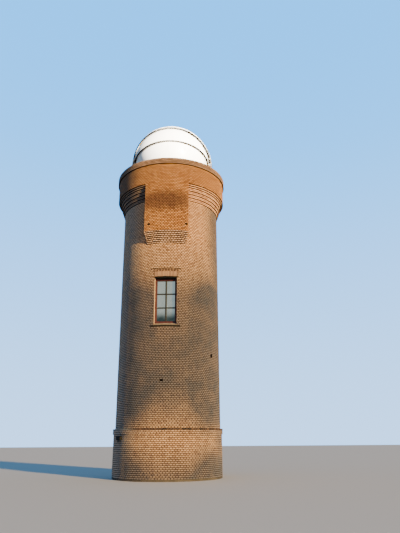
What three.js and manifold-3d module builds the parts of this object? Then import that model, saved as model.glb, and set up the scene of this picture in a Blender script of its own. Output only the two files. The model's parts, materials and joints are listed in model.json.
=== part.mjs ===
// A round brick observatory tower under a white clamshell dome.
// Millimetres, +Z up. The origin is the centre of the underside, and the window side faces -Y.
// An azimuth is in degrees round the tower from that front, growing towards +X.
import * as THREE from 'three';
import { mergeVertices } from 'three/addons/utils/BufferGeometryUtils.js';
import Module from 'manifold-3d';

const wasm = await Module();
wasm.setup();

// Brickwork and joints between pieces
const COURSE = 75; // one brick course with its mortar joint
const GAP = 0.3; // between pieces that touch
const FACET = 4.5; // degrees of wall in one flat facet
const THROUGH = 100; // a cutting tool reaches this far past the face it breaks through

// Radii of the tower
const SHAFT_R = 2350;
const ROOM_R = 1840;
const PLINTH_R = 2415;
const STRING_R = 2460;
const DRUM_R = 2710;
const GALLERY_R = 2400; // inner face of the parapet
const COPING_R = 2780;
const COPING_INNER_R = 2370;

// Levels of the tower, in whole courses above the ground
const SLAB_TOP = 1 * COURSE;
const PLINTH_TOP = 24 * COURSE;
const STRING_TOP = 27 * COURSE;
const WINDOW_LOW = 84 * COURSE;
const WINDOW_HIGH = 113 * COURSE;
const HOOD_LOW = 118 * COURSE;
const BAY_LOW = 135 * COURSE;
const CORNICE_LOW = 165 * COURSE;
const DRUM_LOW = 175 * COURSE;
const COPING_LOW = 188 * COURSE;
const COPING_TOP = 192 * COURSE;
const ROOF_THICKNESS = 200;
const UPPER_FLOOR_TOP = 5400;
const UPPER_FLOOR_THICKNESS = 150;

// Corbelled brickwork. The drum wall is the cornice's seventh step.
const CORBEL_STEPS = 7;
const BAY_HALF_ANGLE = 22.5;
const CORNICE_STEP_COURSES = [2, 2, 2, 2, 1, 1];
const DRAIN = { azimuths: [-17.5, 20], z: 146.5 * COURSE, radius: 36, depth: 250, sides: 12 };
const VENT = { azimuth: 58, z: 68 * COURSE, width: 130, height: 2 * COURSE, depth: 600 };
const PUTLOG = { azimuth: -3, z: 52.5 * COURSE, width: 120, height: COURSE, depth: 120 }; // left open by the scaffold

// Window and door joinery
const WINDOW = { width: 1000, recess: 270, member: 65, depth: 80, columns: 2, rows: 3, glass: 6 };
const SILL = { rise: 120, drop: COURSE, halfWidth: 650, radius: 2400, bedSetback: 20, flatTo: 2140, back: 1950 };
const HOOD = { height: COURSE, halfWidth: 680, radius: 2392 };
const DOOR = { width: 900, recess: 300, member: 70, depth: 90, leaf: 50, leafRecess: 20 };
const DOOR_HIGH = STRING_TOP;
const LINTEL = { halfWidth: 650, height: 3 * COURSE, radius: 2380 };

// Black metal fitting on the plinth
const FITTING = { azimuth: -51.75, width: 320, height: 145, depth: 110, low: 1575 };
const FITTING_LEG = { radius: 12, drop: 100, sides: 8 };
const FITTING_LEGS = [-120, 0, 120];

// Dome: nested shells that turn about one level axis, left to right through the dome's centre
const PIVOT_Z = 207 * COURSE;
const SHELL = 12; // laminate thickness
const FLANGE = 8;
const FLANGE_CLEARANCE = 50; // from a lower flange to the shell inside it
const LAP_CLEARANCE = 24; // from an upper flange to the shell that laps it
const BASE_R = 1915;
const FRONT_MID_R = 2000;
const REAR_MID_R = 2050;
const FRONT_TOP_R = 2105;
const REAR_TOP_R = 2160;
const BASE_EDGE = 20; // degrees above the level plane through the pivots
const MID_SPAN = [11, 53];
const FRONT_TOP_SPAN = [45, 91.5];
const REAR_TOP_SPAN = [46, 100];
const BASE_DROP = 1150; // the fixed base reaches this far below the pivots
const CURB = { inner: 1465, outer: 1565 };
const HUB_R = 150;
const HUB_TRIM_R = 330; // flanges stop here, short of the hubs, where neighbouring edges draw together
const PIN = { radius: 30, headRadius: 55, head: 40, washerRadius: 70, washer: 25, sides: 24 };
const PIN_HOLE = { fixed: 30.3, turning: 30.8 };
const WASHER_CLEARANCE = 5;
const BALL_MERIDIANS = 36;
const BALL_PARALLELS = 18;
const REACH = 3500; // beyond every shell, for cutting tools

const finish = (color, roughness, metalness = 0) => new THREE.MeshStandardMaterial({ color, roughness, metalness });
const creamBrick = finish('#c69c74', 0.92);
const ochreBrick = finish('#b97a42', 0.92);
const concrete = finish('#8d8880', 0.9);
const redTimber = finish('#5a2320', 0.6);
const greenTimber = finish('#3c4640', 0.6);
const glass = finish('#8fa3a0', 0.08);
const whiteLaminate = finish('#e9e9e4', 0.35);
const pivotSteel = finish('#8c9093', 0.4, 0.9);
const blackMetal = finish('#1c1c1e', 0.5, 0.4);

const degrees = THREE.MathUtils.radToDeg;
const radians = THREE.MathUtils.degToRad;

function piece(name, geometry, material) {
  const mesh = new THREE.Mesh(geometry, material);
  mesh.name = name;
  return mesh;
}

// Solid operations on closed meshes
function solid(geometry) {
  const bare = geometry.clone();
  bare.deleteAttribute('normal');
  bare.deleteAttribute('uv');
  const merged = mergeVertices(bare, 0.001);
  return new wasm.Manifold(
    new wasm.Mesh({
      numProp: 3,
      vertProperties: new Float32Array(merged.attributes.position.array),
      triVerts: new Uint32Array(merged.index.array),
    }),
  );
}

function surfaceOf(body) {
  const mesh = body.getMesh();
  const geometry = new THREE.BufferGeometry();
  geometry.setAttribute('position', new THREE.BufferAttribute(mesh.vertProperties, 3));
  geometry.setIndex(new THREE.BufferAttribute(mesh.triVerts, 1));
  geometry.computeVertexNormals();
  return geometry;
}

const join = (bodies) => bodies.reduce((sum, body) => sum.add(body));
const cut = (body, tools) => tools.reduce((rest, tool) => rest.subtract(tool), body);

// Round walls
function planPoint(radius, azimuth) {
  const turn = radians(azimuth);
  return new THREE.Vector2(radius * Math.sin(turn), -radius * Math.cos(turn));
}

function arcPoints(radius, from, to) {
  const steps = Math.max(1, Math.round(Math.abs(to - from) / FACET));
  return Array.from({ length: steps + 1 }, (_, step) => planPoint(radius, from + ((to - from) * step) / steps));
}

// A stretch of wall between two azimuths. Its ends are parallel to those radii, set back by the insets:
// half the gap at a plain joint, and half the opening's width at a door or window.
function wallStretch({ inner, outer, low, high, from, to, fromInset = GAP / 2, toInset = GAP / 2 }) {
  const lean = (radius, inset) => degrees(Math.asin(inset / radius));
  const outline = new THREE.Shape([
    ...arcPoints(outer, from + lean(outer, fromInset), to - lean(outer, toInset)),
    ...arcPoints(inner, to - lean(inner, toInset), from + lean(inner, fromInset)),
  ]);
  const geometry = new THREE.ExtrudeGeometry(outline, { depth: high - low - GAP, bevelEnabled: false });
  return geometry.translate(0, 0, low + GAP);
}

// A short stretch centred on the front, with parallel ends this far from its middle
function frontStretch(sizes, halfWidth) {
  return wallStretch({ ...sizes, from: 0, to: 0, fromInset: -halfWidth, toInset: -halfWidth });
}

function fullCircle(radius) {
  return arcPoints(radius, 0, 360).slice(1);
}

function disc(radius, low, high) {
  const geometry = new THREE.ExtrudeGeometry(new THREE.Shape(fullCircle(radius)), {
    depth: high - low,
    bevelEnabled: false,
  });
  return geometry.translate(0, 0, low);
}

// The radius at which an arc with facets of its own clears a faceted wall of the given radius
const clearOf = (radius) => (radius + GAP) / Math.cos(radians(FACET / 2));

const QUARTERS = [
  ['front_right', 0],
  ['rear_right', 90],
  ['rear_left', 180],
  ['front_left', 270],
];
const HALVES = [
  ['right', 0],
  ['left', 180],
];

// One wall stretch for each quarter. An opening in the front or the rear takes the named half width.
function quarterWalls(label, sizes, material, { front = GAP / 2, rear = GAP / 2 } = {}, cuts = {}) {
  const insetAt = (azimuth) => ({ 0: front, 180: rear, 360: front })[azimuth] ?? GAP / 2;
  return QUARTERS.map(([quarter, from]) => {
    const to = from + 90;
    const geometry = wallStretch({ ...sizes, from, to, fromInset: insetAt(from), toInset: insetAt(to) });
    const tools = cuts[quarter];
    return piece(`${label}_${quarter}`, tools ? surfaceOf(cut(solid(geometry), tools)) : geometry, material);
  });
}

function halfRings(label, sizes, material, rearInset = GAP / 2) {
  return HALVES.map(([half, from]) => {
    const insets = from === 0 ? { toInset: rearInset } : { fromInset: rearInset };
    return piece(`${label}_${half}`, wallStretch({ ...sizes, from, to: from + 180, ...insets }), material);
  });
}

// Plinth, string course and shaft
function plinth() {
  const sizes = { inner: ROOM_R, outer: PLINTH_R, low: SLAB_TOP, high: PLINTH_TOP };
  return quarterWalls('plinth', sizes, creamBrick, { rear: DOOR.width / 2 });
}

function stringCourse() {
  const sizes = { inner: ROOM_R, outer: STRING_R, low: PLINTH_TOP, high: STRING_TOP };
  return halfRings('string_course', sizes, creamBrick, DOOR.width / 2);
}

function lintelNotch() {
  const high = STRING_TOP + LINTEL.height + GAP;
  const sizes = { inner: ROOM_R - THROUGH, outer: STRING_R, low: STRING_TOP - COURSE, high };
  const notch = frontStretch(sizes, LINTEL.halfWidth + GAP);
  return solid(notch.rotateZ(Math.PI));
}

// A square-cut hole in the shaft's face
function wallHole({ azimuth, z, width, height, depth }) {
  const hole = new THREE.BoxGeometry(width, 2 * depth, height);
  return solid(hole.translate(0, -SHAFT_R, z).rotateZ(radians(azimuth)));
}

function shaft() {
  const sizes = { inner: ROOM_R, outer: SHAFT_R };
  const notch = lintelNotch();
  const lowerCuts = {
    rear_right: [notch],
    rear_left: [notch],
    front_right: [wallHole(VENT)],
    front_left: [wallHole(PUTLOG)],
  };
  const beside = { front: WINDOW.width / 2, rear: WINDOW.width / 2 };
  return [
    ...quarterWalls('shaft_lower', { ...sizes, low: STRING_TOP, high: WINDOW_LOW }, creamBrick, {}, lowerCuts),
    ...quarterWalls('shaft_window_storey', { ...sizes, low: WINDOW_LOW, high: WINDOW_HIGH }, creamBrick, beside),
    ...quarterWalls('shaft_upper', { ...sizes, low: WINDOW_HIGH, high: DRUM_LOW }, creamBrick),
  ];
}

// Corbelled brickwork: nested stretches, each one step wider and starting a little higher
function corbelled(from, to, lows) {
  const step = (DRUM_R - SHAFT_R) / CORBEL_STEPS;
  const stretches = lows.map((low, index) =>
    solid(
      wallStretch({
        inner: SHAFT_R + GAP,
        outer: SHAFT_R + step * (index + 1),
        low: low - GAP,
        high: DRUM_LOW,
        from,
        to,
      }),
    ),
  );
  return join(stretches);
}

function corniceLows() {
  let low = CORNICE_LOW;
  return CORNICE_STEP_COURSES.map((courses) => {
    const start = low;
    low += courses * COURSE;
    return start;
  });
}

function cornice() {
  const lows = corniceLows();
  const quarters = {
    front_right: [BAY_HALF_ANGLE, 90],
    rear_right: [90, 180 - BAY_HALF_ANGLE],
    rear_left: [180 + BAY_HALF_ANGLE, 270],
    front_left: [270, 360 - BAY_HALF_ANGLE],
  };
  return Object.entries(quarters).map(([quarter, [from, to]]) =>
    piece(`cornice_${quarter}`, surfaceOf(corbelled(from, to, lows)), ochreBrick),
  );
}

function drainHole(azimuth) {
  const hole = new THREE.CylinderGeometry(DRAIN.radius, DRAIN.radius, 2 * DRAIN.depth, DRAIN.sides);
  hole.translate(0, -DRUM_R, 0).rotateZ(radians(azimuth));
  return solid(hole.translate(0, 0, DRAIN.z));
}

function bay() {
  const lows = Array.from({ length: CORBEL_STEPS }, (_, index) => BAY_LOW + index * COURSE);
  return cut(corbelled(-BAY_HALF_ANGLE, BAY_HALF_ANGLE, lows), DRAIN.azimuths.map(drainHole));
}

// Drum, parapet, floors and roof
function crown() {
  const drum = { inner: GALLERY_R, outer: DRUM_R, low: DRUM_LOW, high: COPING_LOW };
  const coping = { inner: COPING_INNER_R, outer: COPING_R, low: COPING_LOW, high: COPING_TOP };
  return [...quarterWalls('drum_wall', drum, ochreBrick), ...halfRings('coping', coping, ochreBrick)];
}

function slabs() {
  const roofLow = DRUM_LOW + GAP;
  const floorLow = UPPER_FLOOR_TOP - UPPER_FLOOR_THICKNESS;
  return [
    piece('foundation_slab', disc(PLINTH_R, 0, SLAB_TOP), concrete),
    piece('upper_floor', disc(ROOM_R - 2 * GAP, floorLow, UPPER_FLOOR_TOP), concrete),
    piece('roof_slab', disc(GALLERY_R - 2 * GAP, roofLow, DRUM_LOW + ROOF_THICKNESS), concrete),
  ];
}

// Joinery is drawn facing the front: its outline is in X and Z, and its depth runs outwards from the back
function rectangle(left, low, right, high) {
  return [
    new THREE.Vector2(left, low),
    new THREE.Vector2(right, low),
    new THREE.Vector2(right, high),
    new THREE.Vector2(left, high),
  ];
}

function upright(outline, depth, back) {
  const geometry = new THREE.ExtrudeGeometry(outline, { depth, bevelEnabled: false });
  return geometry.rotateX(Math.PI / 2).translate(0, -back, 0);
}

// The outer frame, and the mullion and transoms that stand inside it
function windowTimber(low, high, back) {
  const { member, columns, rows, depth } = WINDOW;
  const half = WINDOW.width / 2 - GAP;
  const plate = (inset) =>
    solid(upright(new THREE.Shape(rectangle(-half + inset, low + inset, half - inset, high - inset)), depth, back));
  const hole = (left, foot, right, head) =>
    solid(upright(new THREE.Shape(rectangle(left, foot, right, head)), 3 * depth, back - depth));
  const paneWidth = (2 * half - (columns + 1) * member) / columns;
  const paneHeight = (high - low - (rows + 1) * member) / rows;
  const panes = [];
  for (let column = 0; column < columns; column += 1) {
    for (let row = 0; row < rows; row += 1) {
      const left = -half + member + column * (paneWidth + member);
      const foot = low + member + row * (paneHeight + member);
      panes.push(hole(left, foot, left + paneWidth, foot + paneHeight));
    }
  }
  const inside = hole(-half + member, low + member, half - member, high - member);
  return { frame: surfaceOf(cut(plate(0), [inside])), bars: surfaceOf(cut(plate(member + GAP), panes)) };
}

// The sill's top is level under the frame and falls from there to the foot of the opening at the nose
function windowSill() {
  const high = WINDOW_LOW + SILL.rise;
  const bedSizes = { inner: SILL.back, outer: SILL.radius - SILL.bedSetback, low: WINDOW_LOW, high };
  const noseSizes = { inner: clearOf(SHAFT_R), outer: SILL.radius, low: WINDOW_LOW - SILL.drop, high };
  const bed = frontStretch(bedSizes, WINDOW.width / 2 - GAP);
  const nose = frontStretch(noseSizes, SILL.halfWidth);
  const fall = new THREE.CylinderGeometry(SILL.flatTo, 2 * SILL.radius - SILL.flatTo, 2 * SILL.rise, 360 / FACET);
  fall.rotateX(Math.PI / 2).translate(0, 0, WINDOW_LOW);
  return surfaceOf(join([solid(bed), solid(nose)]).intersect(solid(fall)));
}

function hood() {
  const sizes = { inner: clearOf(SHAFT_R), outer: HOOD.radius, low: HOOD_LOW, high: HOOD_LOW + HOOD.height };
  return frontStretch(sizes, HOOD.halfWidth);
}

function windowPieces(side) {
  const low = WINDOW_LOW + SILL.rise + GAP;
  const high = WINDOW_HIGH - GAP;
  const back = SHAFT_R - WINDOW.recess - WINDOW.depth;
  const half = WINDOW.width / 2 - GAP;
  const sheet = upright(new THREE.Shape(rectangle(-half, low, half, high)), WINDOW.glass, back - GAP - WINDOW.glass);
  const timber = windowTimber(low, high, back);
  return [
    piece(`${side}_window_frame`, timber.frame, redTimber),
    piece(`${side}_window_bars`, timber.bars, greenTimber),
    piece(`${side}_window_glass`, sheet, glass),
    piece(`${side}_window_sill`, windowSill(), creamBrick),
    piece(`${side}_window_hood`, hood(), creamBrick),
  ];
}

function doorPieces() {
  const low = SLAB_TOP + GAP;
  const high = DOOR_HIGH - GAP;
  const half = DOOR.width / 2 - GAP;
  const inside = half - DOOR.member;
  const head = high - DOOR.member;
  const back = PLINTH_R - DOOR.recess - DOOR.depth;
  const frame = new THREE.Shape([
    new THREE.Vector2(-half, low),
    new THREE.Vector2(-inside, low),
    new THREE.Vector2(-inside, head),
    new THREE.Vector2(inside, head),
    new THREE.Vector2(inside, low),
    new THREE.Vector2(half, low),
    new THREE.Vector2(half, high),
    new THREE.Vector2(-half, high),
  ]);
  const leaf = new THREE.Shape(rectangle(-inside + GAP, low, inside - GAP, head - GAP));
  const leafBack = back + DOOR.depth - DOOR.leafRecess - DOOR.leaf;
  const lintel = { inner: ROOM_R, outer: LINTEL.radius, low: DOOR_HIGH, high: DOOR_HIGH + LINTEL.height };
  return [
    piece('door_frame', upright(frame, DOOR.depth, back), redTimber),
    piece('door_leaf', upright(leaf, DOOR.leaf, leafBack), redTimber),
    piece('door_lintel', frontStretch(lintel, LINTEL.halfWidth), concrete),
  ];
}

// It lies flat against the middle of one facet of the plinth
function wallFitting() {
  const face = PLINTH_R * Math.cos(radians(FACET / 2));
  const middle = -(face + GAP + FITTING.depth / 2);
  const body = new THREE.BoxGeometry(FITTING.width, FITTING.depth, FITTING.height);
  body.translate(0, middle, FITTING.low + FITTING.height / 2);
  const legs = FITTING_LEGS.map((across) => {
    const length = FITTING_LEG.drop + FITTING.height / 2;
    const leg = new THREE.CylinderGeometry(FITTING_LEG.radius, FITTING_LEG.radius, length, FITTING_LEG.sides);
    leg.rotateX(Math.PI / 2).translate(across, middle, FITTING.low - FITTING_LEG.drop + length / 2);
    return solid(leg);
  });
  const fitting = piece('wall_fitting', surfaceOf(join([solid(body), ...legs])), blackMetal);
  fitting.rotation.z = radians(FITTING.azimuth);
  return fitting;
}

// Dome solids are drawn round the pivot axis, X, with angles measured from the level front upwards
function ball(radius) {
  const geometry = new THREE.SphereGeometry(radius, BALL_MERIDIANS, BALL_PARALLELS);
  return solid(geometry.rotateZ(Math.PI / 2));
}

const hollowBall = (outer, inner) => ball(outer).subtract(ball(inner));

function rod(radius, from, to) {
  const geometry = new THREE.CylinderGeometry(radius, radius, to - from, PIN.sides);
  return solid(geometry.rotateZ(-Math.PI / 2).translate((from + to) / 2, 0, 0));
}

// An outline across the pivot axis, x to the front and y up, carried right through the dome along the axis
function acrossAxis(points) {
  const geometry = new THREE.ExtrudeGeometry(new THREE.Shape(points), { depth: 2 * REACH, bevelEnabled: false });
  geometry.translate(0, 0, -REACH);
  const frontwards = new THREE.Vector3(0, -1, 0);
  const upwards = new THREE.Vector3(0, 0, 1);
  const along = new THREE.Vector3(-1, 0, 0);
  return solid(geometry.applyMatrix4(new THREE.Matrix4().makeBasis(frontwards, upwards, along)));
}

function direction(angle, length = 1) {
  return new THREE.Vector2(Math.cos(radians(angle)), Math.sin(radians(angle))).multiplyScalar(length);
}

function wedge(low, high) {
  const rays = [0, 0.25, 0.5, 0.75, 1].map((part) => direction(low + (high - low) * part, REACH));
  return acrossAxis([new THREE.Vector2(0, 0), ...rays]);
}

// A flange is a plate along one edge of a shell, on the shell's own side of it
function flange(angle, inner, outer, side) {
  const ray = direction(angle, REACH);
  const across = direction(angle + 90, side * FLANGE);
  const plate = [new THREE.Vector2(0, 0), ray, ray.clone().add(across), across];
  const ordered = side > 0 ? plate : plate.reverse();
  const ring = hollowBall(outer, inner).intersect(acrossAxis(ordered));
  return ring.subtract(rod(HUB_TRIM_R, -REACH, REACH));
}

function shell({ radius, span, flanges }) {
  const skin = hollowBall(radius, radius - SHELL);
  const part = skin.intersect(wedge(span[0], span[1]));
  const hubs = skin.intersect(rod(HUB_R, -REACH, REACH));
  const edges = flanges.map(({ angle, inner, outer, side }) => flange(angle, inner, outer, side));
  return cut(join([part, hubs, ...edges]), [rod(PIN_HOLE.turning, -REACH, REACH)]);
}

const middle = (radius) => radius - SHELL / 2;

function lowerFlange(radius, span, innerShellRadius) {
  return { angle: span[0], inner: innerShellRadius + FLANGE_CLEARANCE, outer: middle(radius), side: 1 };
}

function midShell(radius, topRadius) {
  const high = MID_SPAN[1];
  return shell({
    radius,
    span: MID_SPAN,
    flanges: [
      lowerFlange(radius, MID_SPAN, BASE_R),
      { angle: high, inner: middle(radius), outer: topRadius - SHELL - LAP_CLEARANCE, side: -1 },
    ],
  });
}

function frontTopShell() {
  const flanges = [lowerFlange(FRONT_TOP_R, FRONT_TOP_SPAN, FRONT_MID_R)];
  return shell({ radius: FRONT_TOP_R, span: FRONT_TOP_SPAN, flanges });
}

function rearTopShell() {
  const lap = {
    angle: REAR_TOP_SPAN[1],
    inner: FRONT_TOP_R + LAP_CLEARANCE,
    outer: middle(REAR_TOP_R),
    side: -1,
  };
  const flanges = [lowerFlange(REAR_TOP_R, REAR_TOP_SPAN, REAR_MID_R), lap];
  return shell({ radius: REAR_TOP_R, span: REAR_TOP_SPAN, flanges });
}

function domeBase() {
  const skin = hollowBall(BASE_R, BASE_R - SHELL);
  const below = new THREE.BoxGeometry(2 * REACH, 2 * REACH, REACH).translate(0, 0, -REACH / 2 - BASE_DROP);
  const open = cut(skin, [wedge(BASE_EDGE, 180 - BASE_EDGE)]);
  const hubs = skin.intersect(rod(HUB_R, -REACH, REACH));
  return cut(join([open, hubs]), [solid(below), rod(PIN_HOLE.fixed, -REACH, REACH)]);
}

// The shells narrow to flat cones at the pivots, so a round head seats a little inside the sphere
function pivotPin() {
  const coneDrop = (radius) => radius * Math.tan(Math.PI / BALL_PARALLELS / 2);
  const headTop = BASE_R - SHELL - coneDrop(PIN.headRadius) - GAP;
  const washerFoot = REAR_TOP_R + WASHER_CLEARANCE;
  const head = rod(PIN.headRadius, headTop - PIN.head, headTop);
  const shank = rod(PIN.radius, headTop - PIN.head / 2, washerFoot + PIN.washer / 2);
  const washer = rod(PIN.washerRadius, washerFoot, washerFoot + PIN.washer);
  return join([head, shank, washer]);
}

function domeCurb() {
  const outline = new THREE.Shape(fullCircle(CURB.outer));
  outline.holes.push(new THREE.Path(fullCircle(CURB.inner)));
  const low = DRUM_LOW + ROOF_THICKNESS + GAP;
  const depth = PIVOT_Z - BASE_DROP - GAP - low;
  const geometry = new THREE.ExtrudeGeometry(outline, { depth, bevelEnabled: false });
  return geometry.translate(0, 0, low);
}

function dome() {
  const group = new THREE.Group();
  group.position.z = PIVOT_Z;
  const frontSide = new THREE.Group();
  const rearSide = new THREE.Group();
  rearSide.rotation.z = Math.PI;
  const pin = surfaceOf(pivotPin());
  frontSide.add(
    piece('front_mid_shell', surfaceOf(midShell(FRONT_MID_R, FRONT_TOP_R)), whiteLaminate),
    piece('front_top_shell', surfaceOf(frontTopShell()), whiteLaminate),
    piece('pivot_pin_right', pin, pivotSteel),
  );
  rearSide.add(
    piece('rear_mid_shell', surfaceOf(midShell(REAR_MID_R, REAR_TOP_R)), whiteLaminate),
    piece('rear_top_shell', surfaceOf(rearTopShell()), whiteLaminate),
    piece('pivot_pin_left', pin.clone(), pivotSteel),
  );
  group.add(piece('dome_base', surfaceOf(domeBase()), whiteLaminate), frontSide, rearSide);
  return group;
}

function side(name, turn, extras = []) {
  const group = new THREE.Group();
  group.rotation.z = turn;
  group.add(piece(`${name}_bay`, surfaceOf(bay()), ochreBrick), ...windowPieces(name), ...extras);
  return group;
}

const observatory = new THREE.Group();
observatory.add(
  ...slabs(),
  ...plinth(),
  ...stringCourse(),
  ...shaft(),
  ...cornice(),
  ...crown(),
  side('front', 0),
  side('rear', Math.PI, doorPieces()),
  wallFitting(),
  piece('dome_curb', domeCurb(), whiteLaminate),
  dome(),
);

export default observatory;
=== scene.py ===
"""A round brick observatory tower with a corbelled head, a gallery parapet and a white dome of nested shells.

Everything is in metres. +Z is up and the window side faces -Y. An azimuth is an angle round the tower from
that front, growing towards +X. A course is one 75 mm layer of bricks, counted up from the ground.
"""

import json
import logging
from collections.abc import Callable
from dataclasses import dataclass, field, replace
from enum import Enum

import bpy
import numpy as np
from mathutils import Matrix

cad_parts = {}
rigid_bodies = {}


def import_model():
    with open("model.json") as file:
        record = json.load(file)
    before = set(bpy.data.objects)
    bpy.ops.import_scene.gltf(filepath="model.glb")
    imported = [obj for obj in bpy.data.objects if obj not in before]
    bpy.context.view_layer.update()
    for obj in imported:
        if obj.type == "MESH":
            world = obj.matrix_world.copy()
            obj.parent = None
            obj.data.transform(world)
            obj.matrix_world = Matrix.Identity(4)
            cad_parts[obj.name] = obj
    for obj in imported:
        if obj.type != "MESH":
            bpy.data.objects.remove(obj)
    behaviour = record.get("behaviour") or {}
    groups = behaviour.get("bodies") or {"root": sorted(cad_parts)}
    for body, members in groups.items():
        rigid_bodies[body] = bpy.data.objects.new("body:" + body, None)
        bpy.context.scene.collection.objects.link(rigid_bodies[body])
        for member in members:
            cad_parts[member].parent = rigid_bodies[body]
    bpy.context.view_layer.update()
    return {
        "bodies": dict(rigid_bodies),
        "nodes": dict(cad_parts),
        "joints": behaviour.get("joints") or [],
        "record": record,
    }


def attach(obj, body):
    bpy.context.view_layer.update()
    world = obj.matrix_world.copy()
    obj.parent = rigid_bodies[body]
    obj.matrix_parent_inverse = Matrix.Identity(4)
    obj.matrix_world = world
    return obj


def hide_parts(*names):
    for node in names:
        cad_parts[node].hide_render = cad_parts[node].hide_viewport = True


log = logging.getLogger("observatory")

# Short names for types: a closed outline, ranges of azimuth, corbel steps, sizes for each or for all, and
# what Blender and a material's nodes take.
Outline = list[tuple[float, float]]
Ranges = list[tuple[float, float]]
Steps = list[tuple[int, int, float]]
Sizes = np.ndarray | float
Object = bpy.types.Object
Material = bpy.types.Material
Tree = bpy.types.NodeTree
Socket = bpy.types.NodeSocket
Term = Socket | float | tuple

FULL_TURN = 2 * np.pi
COURSE = 0.075
HEADER = 0.130

# Radii of the walls' faces.
SHAFT_R = 2.35
PLINTH_R = 2.415
STRING_R = 2.46
DRUM_R = 2.71
GALLERY_R = 2.40
COPING_R = 2.78
COPING_INNER_R = 2.37

# Course numbers.
PLINTH_TOP = 24
STRING_TOP = 27
DOOR_LINTEL_TOP = 30
WINDOW_LOW = 84
WINDOW_HIGH = 113
HOOD_COURSE = 118
BAY_LOW = 135
CORNICE_LOW = 165
DRUM_LOW = 175
GALLERY_LOW = 178
COPING_LOW = 188
COPING_TOP = 192

CORBEL_COURSES = (1,) * 7
CORNICE_COURSES = (2, 2, 2, 2, 1, 1)
CORBEL_STEP = (DRUM_R - SHAFT_R) / len(CORBEL_COURSES)
BAY_HALF = np.radians(22.5)
WINDOW_HALF = 0.5
ROOF_TOP = DRUM_LOW * COURSE + 0.2
PIVOT_Z = 207 * COURSE

# Inner radius, outer radius, edge angle in degrees and thickness of the shells' black strips, painted shade
# in the gaps between the shells.
MID_SHADE_STRIP = (1.967, 2.006, 11.0, -0.045)
FRONT_SHADE_STRIP = (2.054, 2.106, 45.0, -0.045)
REAR_SHADE_STRIP = (2.113, 2.146, 100.0, 0.018)


class Side(Enum):
    """The two sides of the tower that carry a window and a bay, with their turn from the front."""

    FRONT = 0.0
    REAR = np.pi


@dataclass
class Form:
    """A closed surface as whole arrays.

    Attributes:
        points: Corner points, one row each.
        corners: Point numbers of all faces, one face after the other.
        sizes: How many corners each face has.
        tone: A shade between 0 and 1 for each point.
    """

    points: np.ndarray
    corners: np.ndarray
    sizes: np.ndarray
    tone: np.ndarray

    def layout(self) -> tuple[np.ndarray, np.ndarray, np.ndarray]:
        """Says which face each corner belongs to.

        Returns:
            Where each face starts, and for each corner its face and its place in it.
        """
        starts = np.cumsum(self.sizes) - self.sizes
        face = np.repeat(np.arange(len(self.sizes)), self.sizes)
        return starts, face, np.arange(len(self.corners)) - starts[face]

    def volume(self) -> float:
        """Sums the volumes between the origin and each face, cut into triangles at its first corner.

        Returns:
            The enclosed volume, negative where the faces point inwards.
        """
        starts, face, place = self.layout()
        following = np.where(place + 1 < self.sizes[face], np.arange(len(self.corners)) + 1, starts[face])
        first = self.points[self.corners[starts]][face]
        here, there = self.points[self.corners], self.points[self.corners[following]]
        return float(np.einsum("ij,ij->", first, np.cross(here, there)) / 6)

    def outward(self) -> "Form":
        """Turns all faces round where they point inwards.

        Returns:
            The form with its faces outwards.
        """
        if self.volume() >= 0:
            return self
        starts, face, place = self.layout()
        return replace(self, corners=self.corners[starts[face] + self.sizes[face] - 1 - place])

    def turned(self, angle: float) -> "Form":
        """Turns the form about the tower's axis.

        Args:
            angle: Turn in radians, growing azimuths.

        Returns:
            The turned form.
        """
        cos, sin = np.cos(angle), np.sin(angle)
        matrix = np.array([[cos, sin, 0.0], [-sin, cos, 0.0], [0.0, 0.0, 1.0]])
        return replace(self, points=self.points @ matrix)

    def raised(self, height: float) -> "Form":
        """Returns the form moved up by a height."""
        return replace(self, points=self.points + np.array([0.0, 0.0, height]))

    def mirrored(self) -> "Form":
        """Returns the form with left and right changed over, its faces still outwards."""
        return replace(self, points=self.points * np.array([-1.0, 1.0, 1.0])).outward()


def joined(forms: list[Form]) -> Form:
    """Puts several forms into one.

    Args:
        forms: The forms, which stay separate bodies.

    Returns:
        One form.
    """
    offsets = np.cumsum([0] + [len(form.points) for form in forms[:-1]])
    return Form(
        np.concatenate([form.points for form in forms]),
        np.concatenate([form.corners + offset for form, offset in zip(forms, offsets)]),
        np.concatenate([form.sizes for form in forms]),
        np.concatenate([form.tone for form in forms]),
    )


def woven(points: np.ndarray, rows_closed: bool) -> Form:
    """Skins rows of points whose columns run round a closed outline.

    A face joins point (i, j) with (i, j + 1), (i + 1, j + 1) and (i + 1, j). Open rows are closed with one
    face at each end.

    Args:
        points: Array of rows, columns and coordinates.
        rows_closed: Whether the last row joins the first.

    Returns:
        A closed form with its faces outwards.
    """
    rows, columns = points.shape[:2]
    numbers = np.arange(rows * columns).reshape(rows, columns)
    across = np.roll(numbers, -1, axis=1)
    quads = np.stack([numbers, across, np.roll(across, -1, axis=0), np.roll(numbers, -1, axis=0)], axis=-1)
    quads = quads[: rows if rows_closed else rows - 1].reshape(-1, 4)
    corners, sizes = [quads.ravel()], [np.full(len(quads), 4)]
    if not rows_closed:
        corners += [numbers[0][::-1], numbers[-1]]
        sizes.append(np.array([columns, columns]))
    flat = points.reshape(-1, 3)
    return Form(flat, np.concatenate(corners), np.concatenate(sizes), np.full(len(flat), 0.5)).outward()


def stacked(*parts: Sizes) -> np.ndarray:
    """Returns the coordinates x, y and z as one array, each stretched to their common shape."""
    return np.stack(np.broadcast_arrays(*parts), axis=-1)


def polar(radius: np.ndarray, azimuth: np.ndarray, height: np.ndarray) -> np.ndarray:
    """Returns the points (r sin a, -r cos a, z) of radii, azimuths and heights."""
    return stacked(radius * np.sin(azimuth), -radius * np.cos(azimuth), height)


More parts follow.
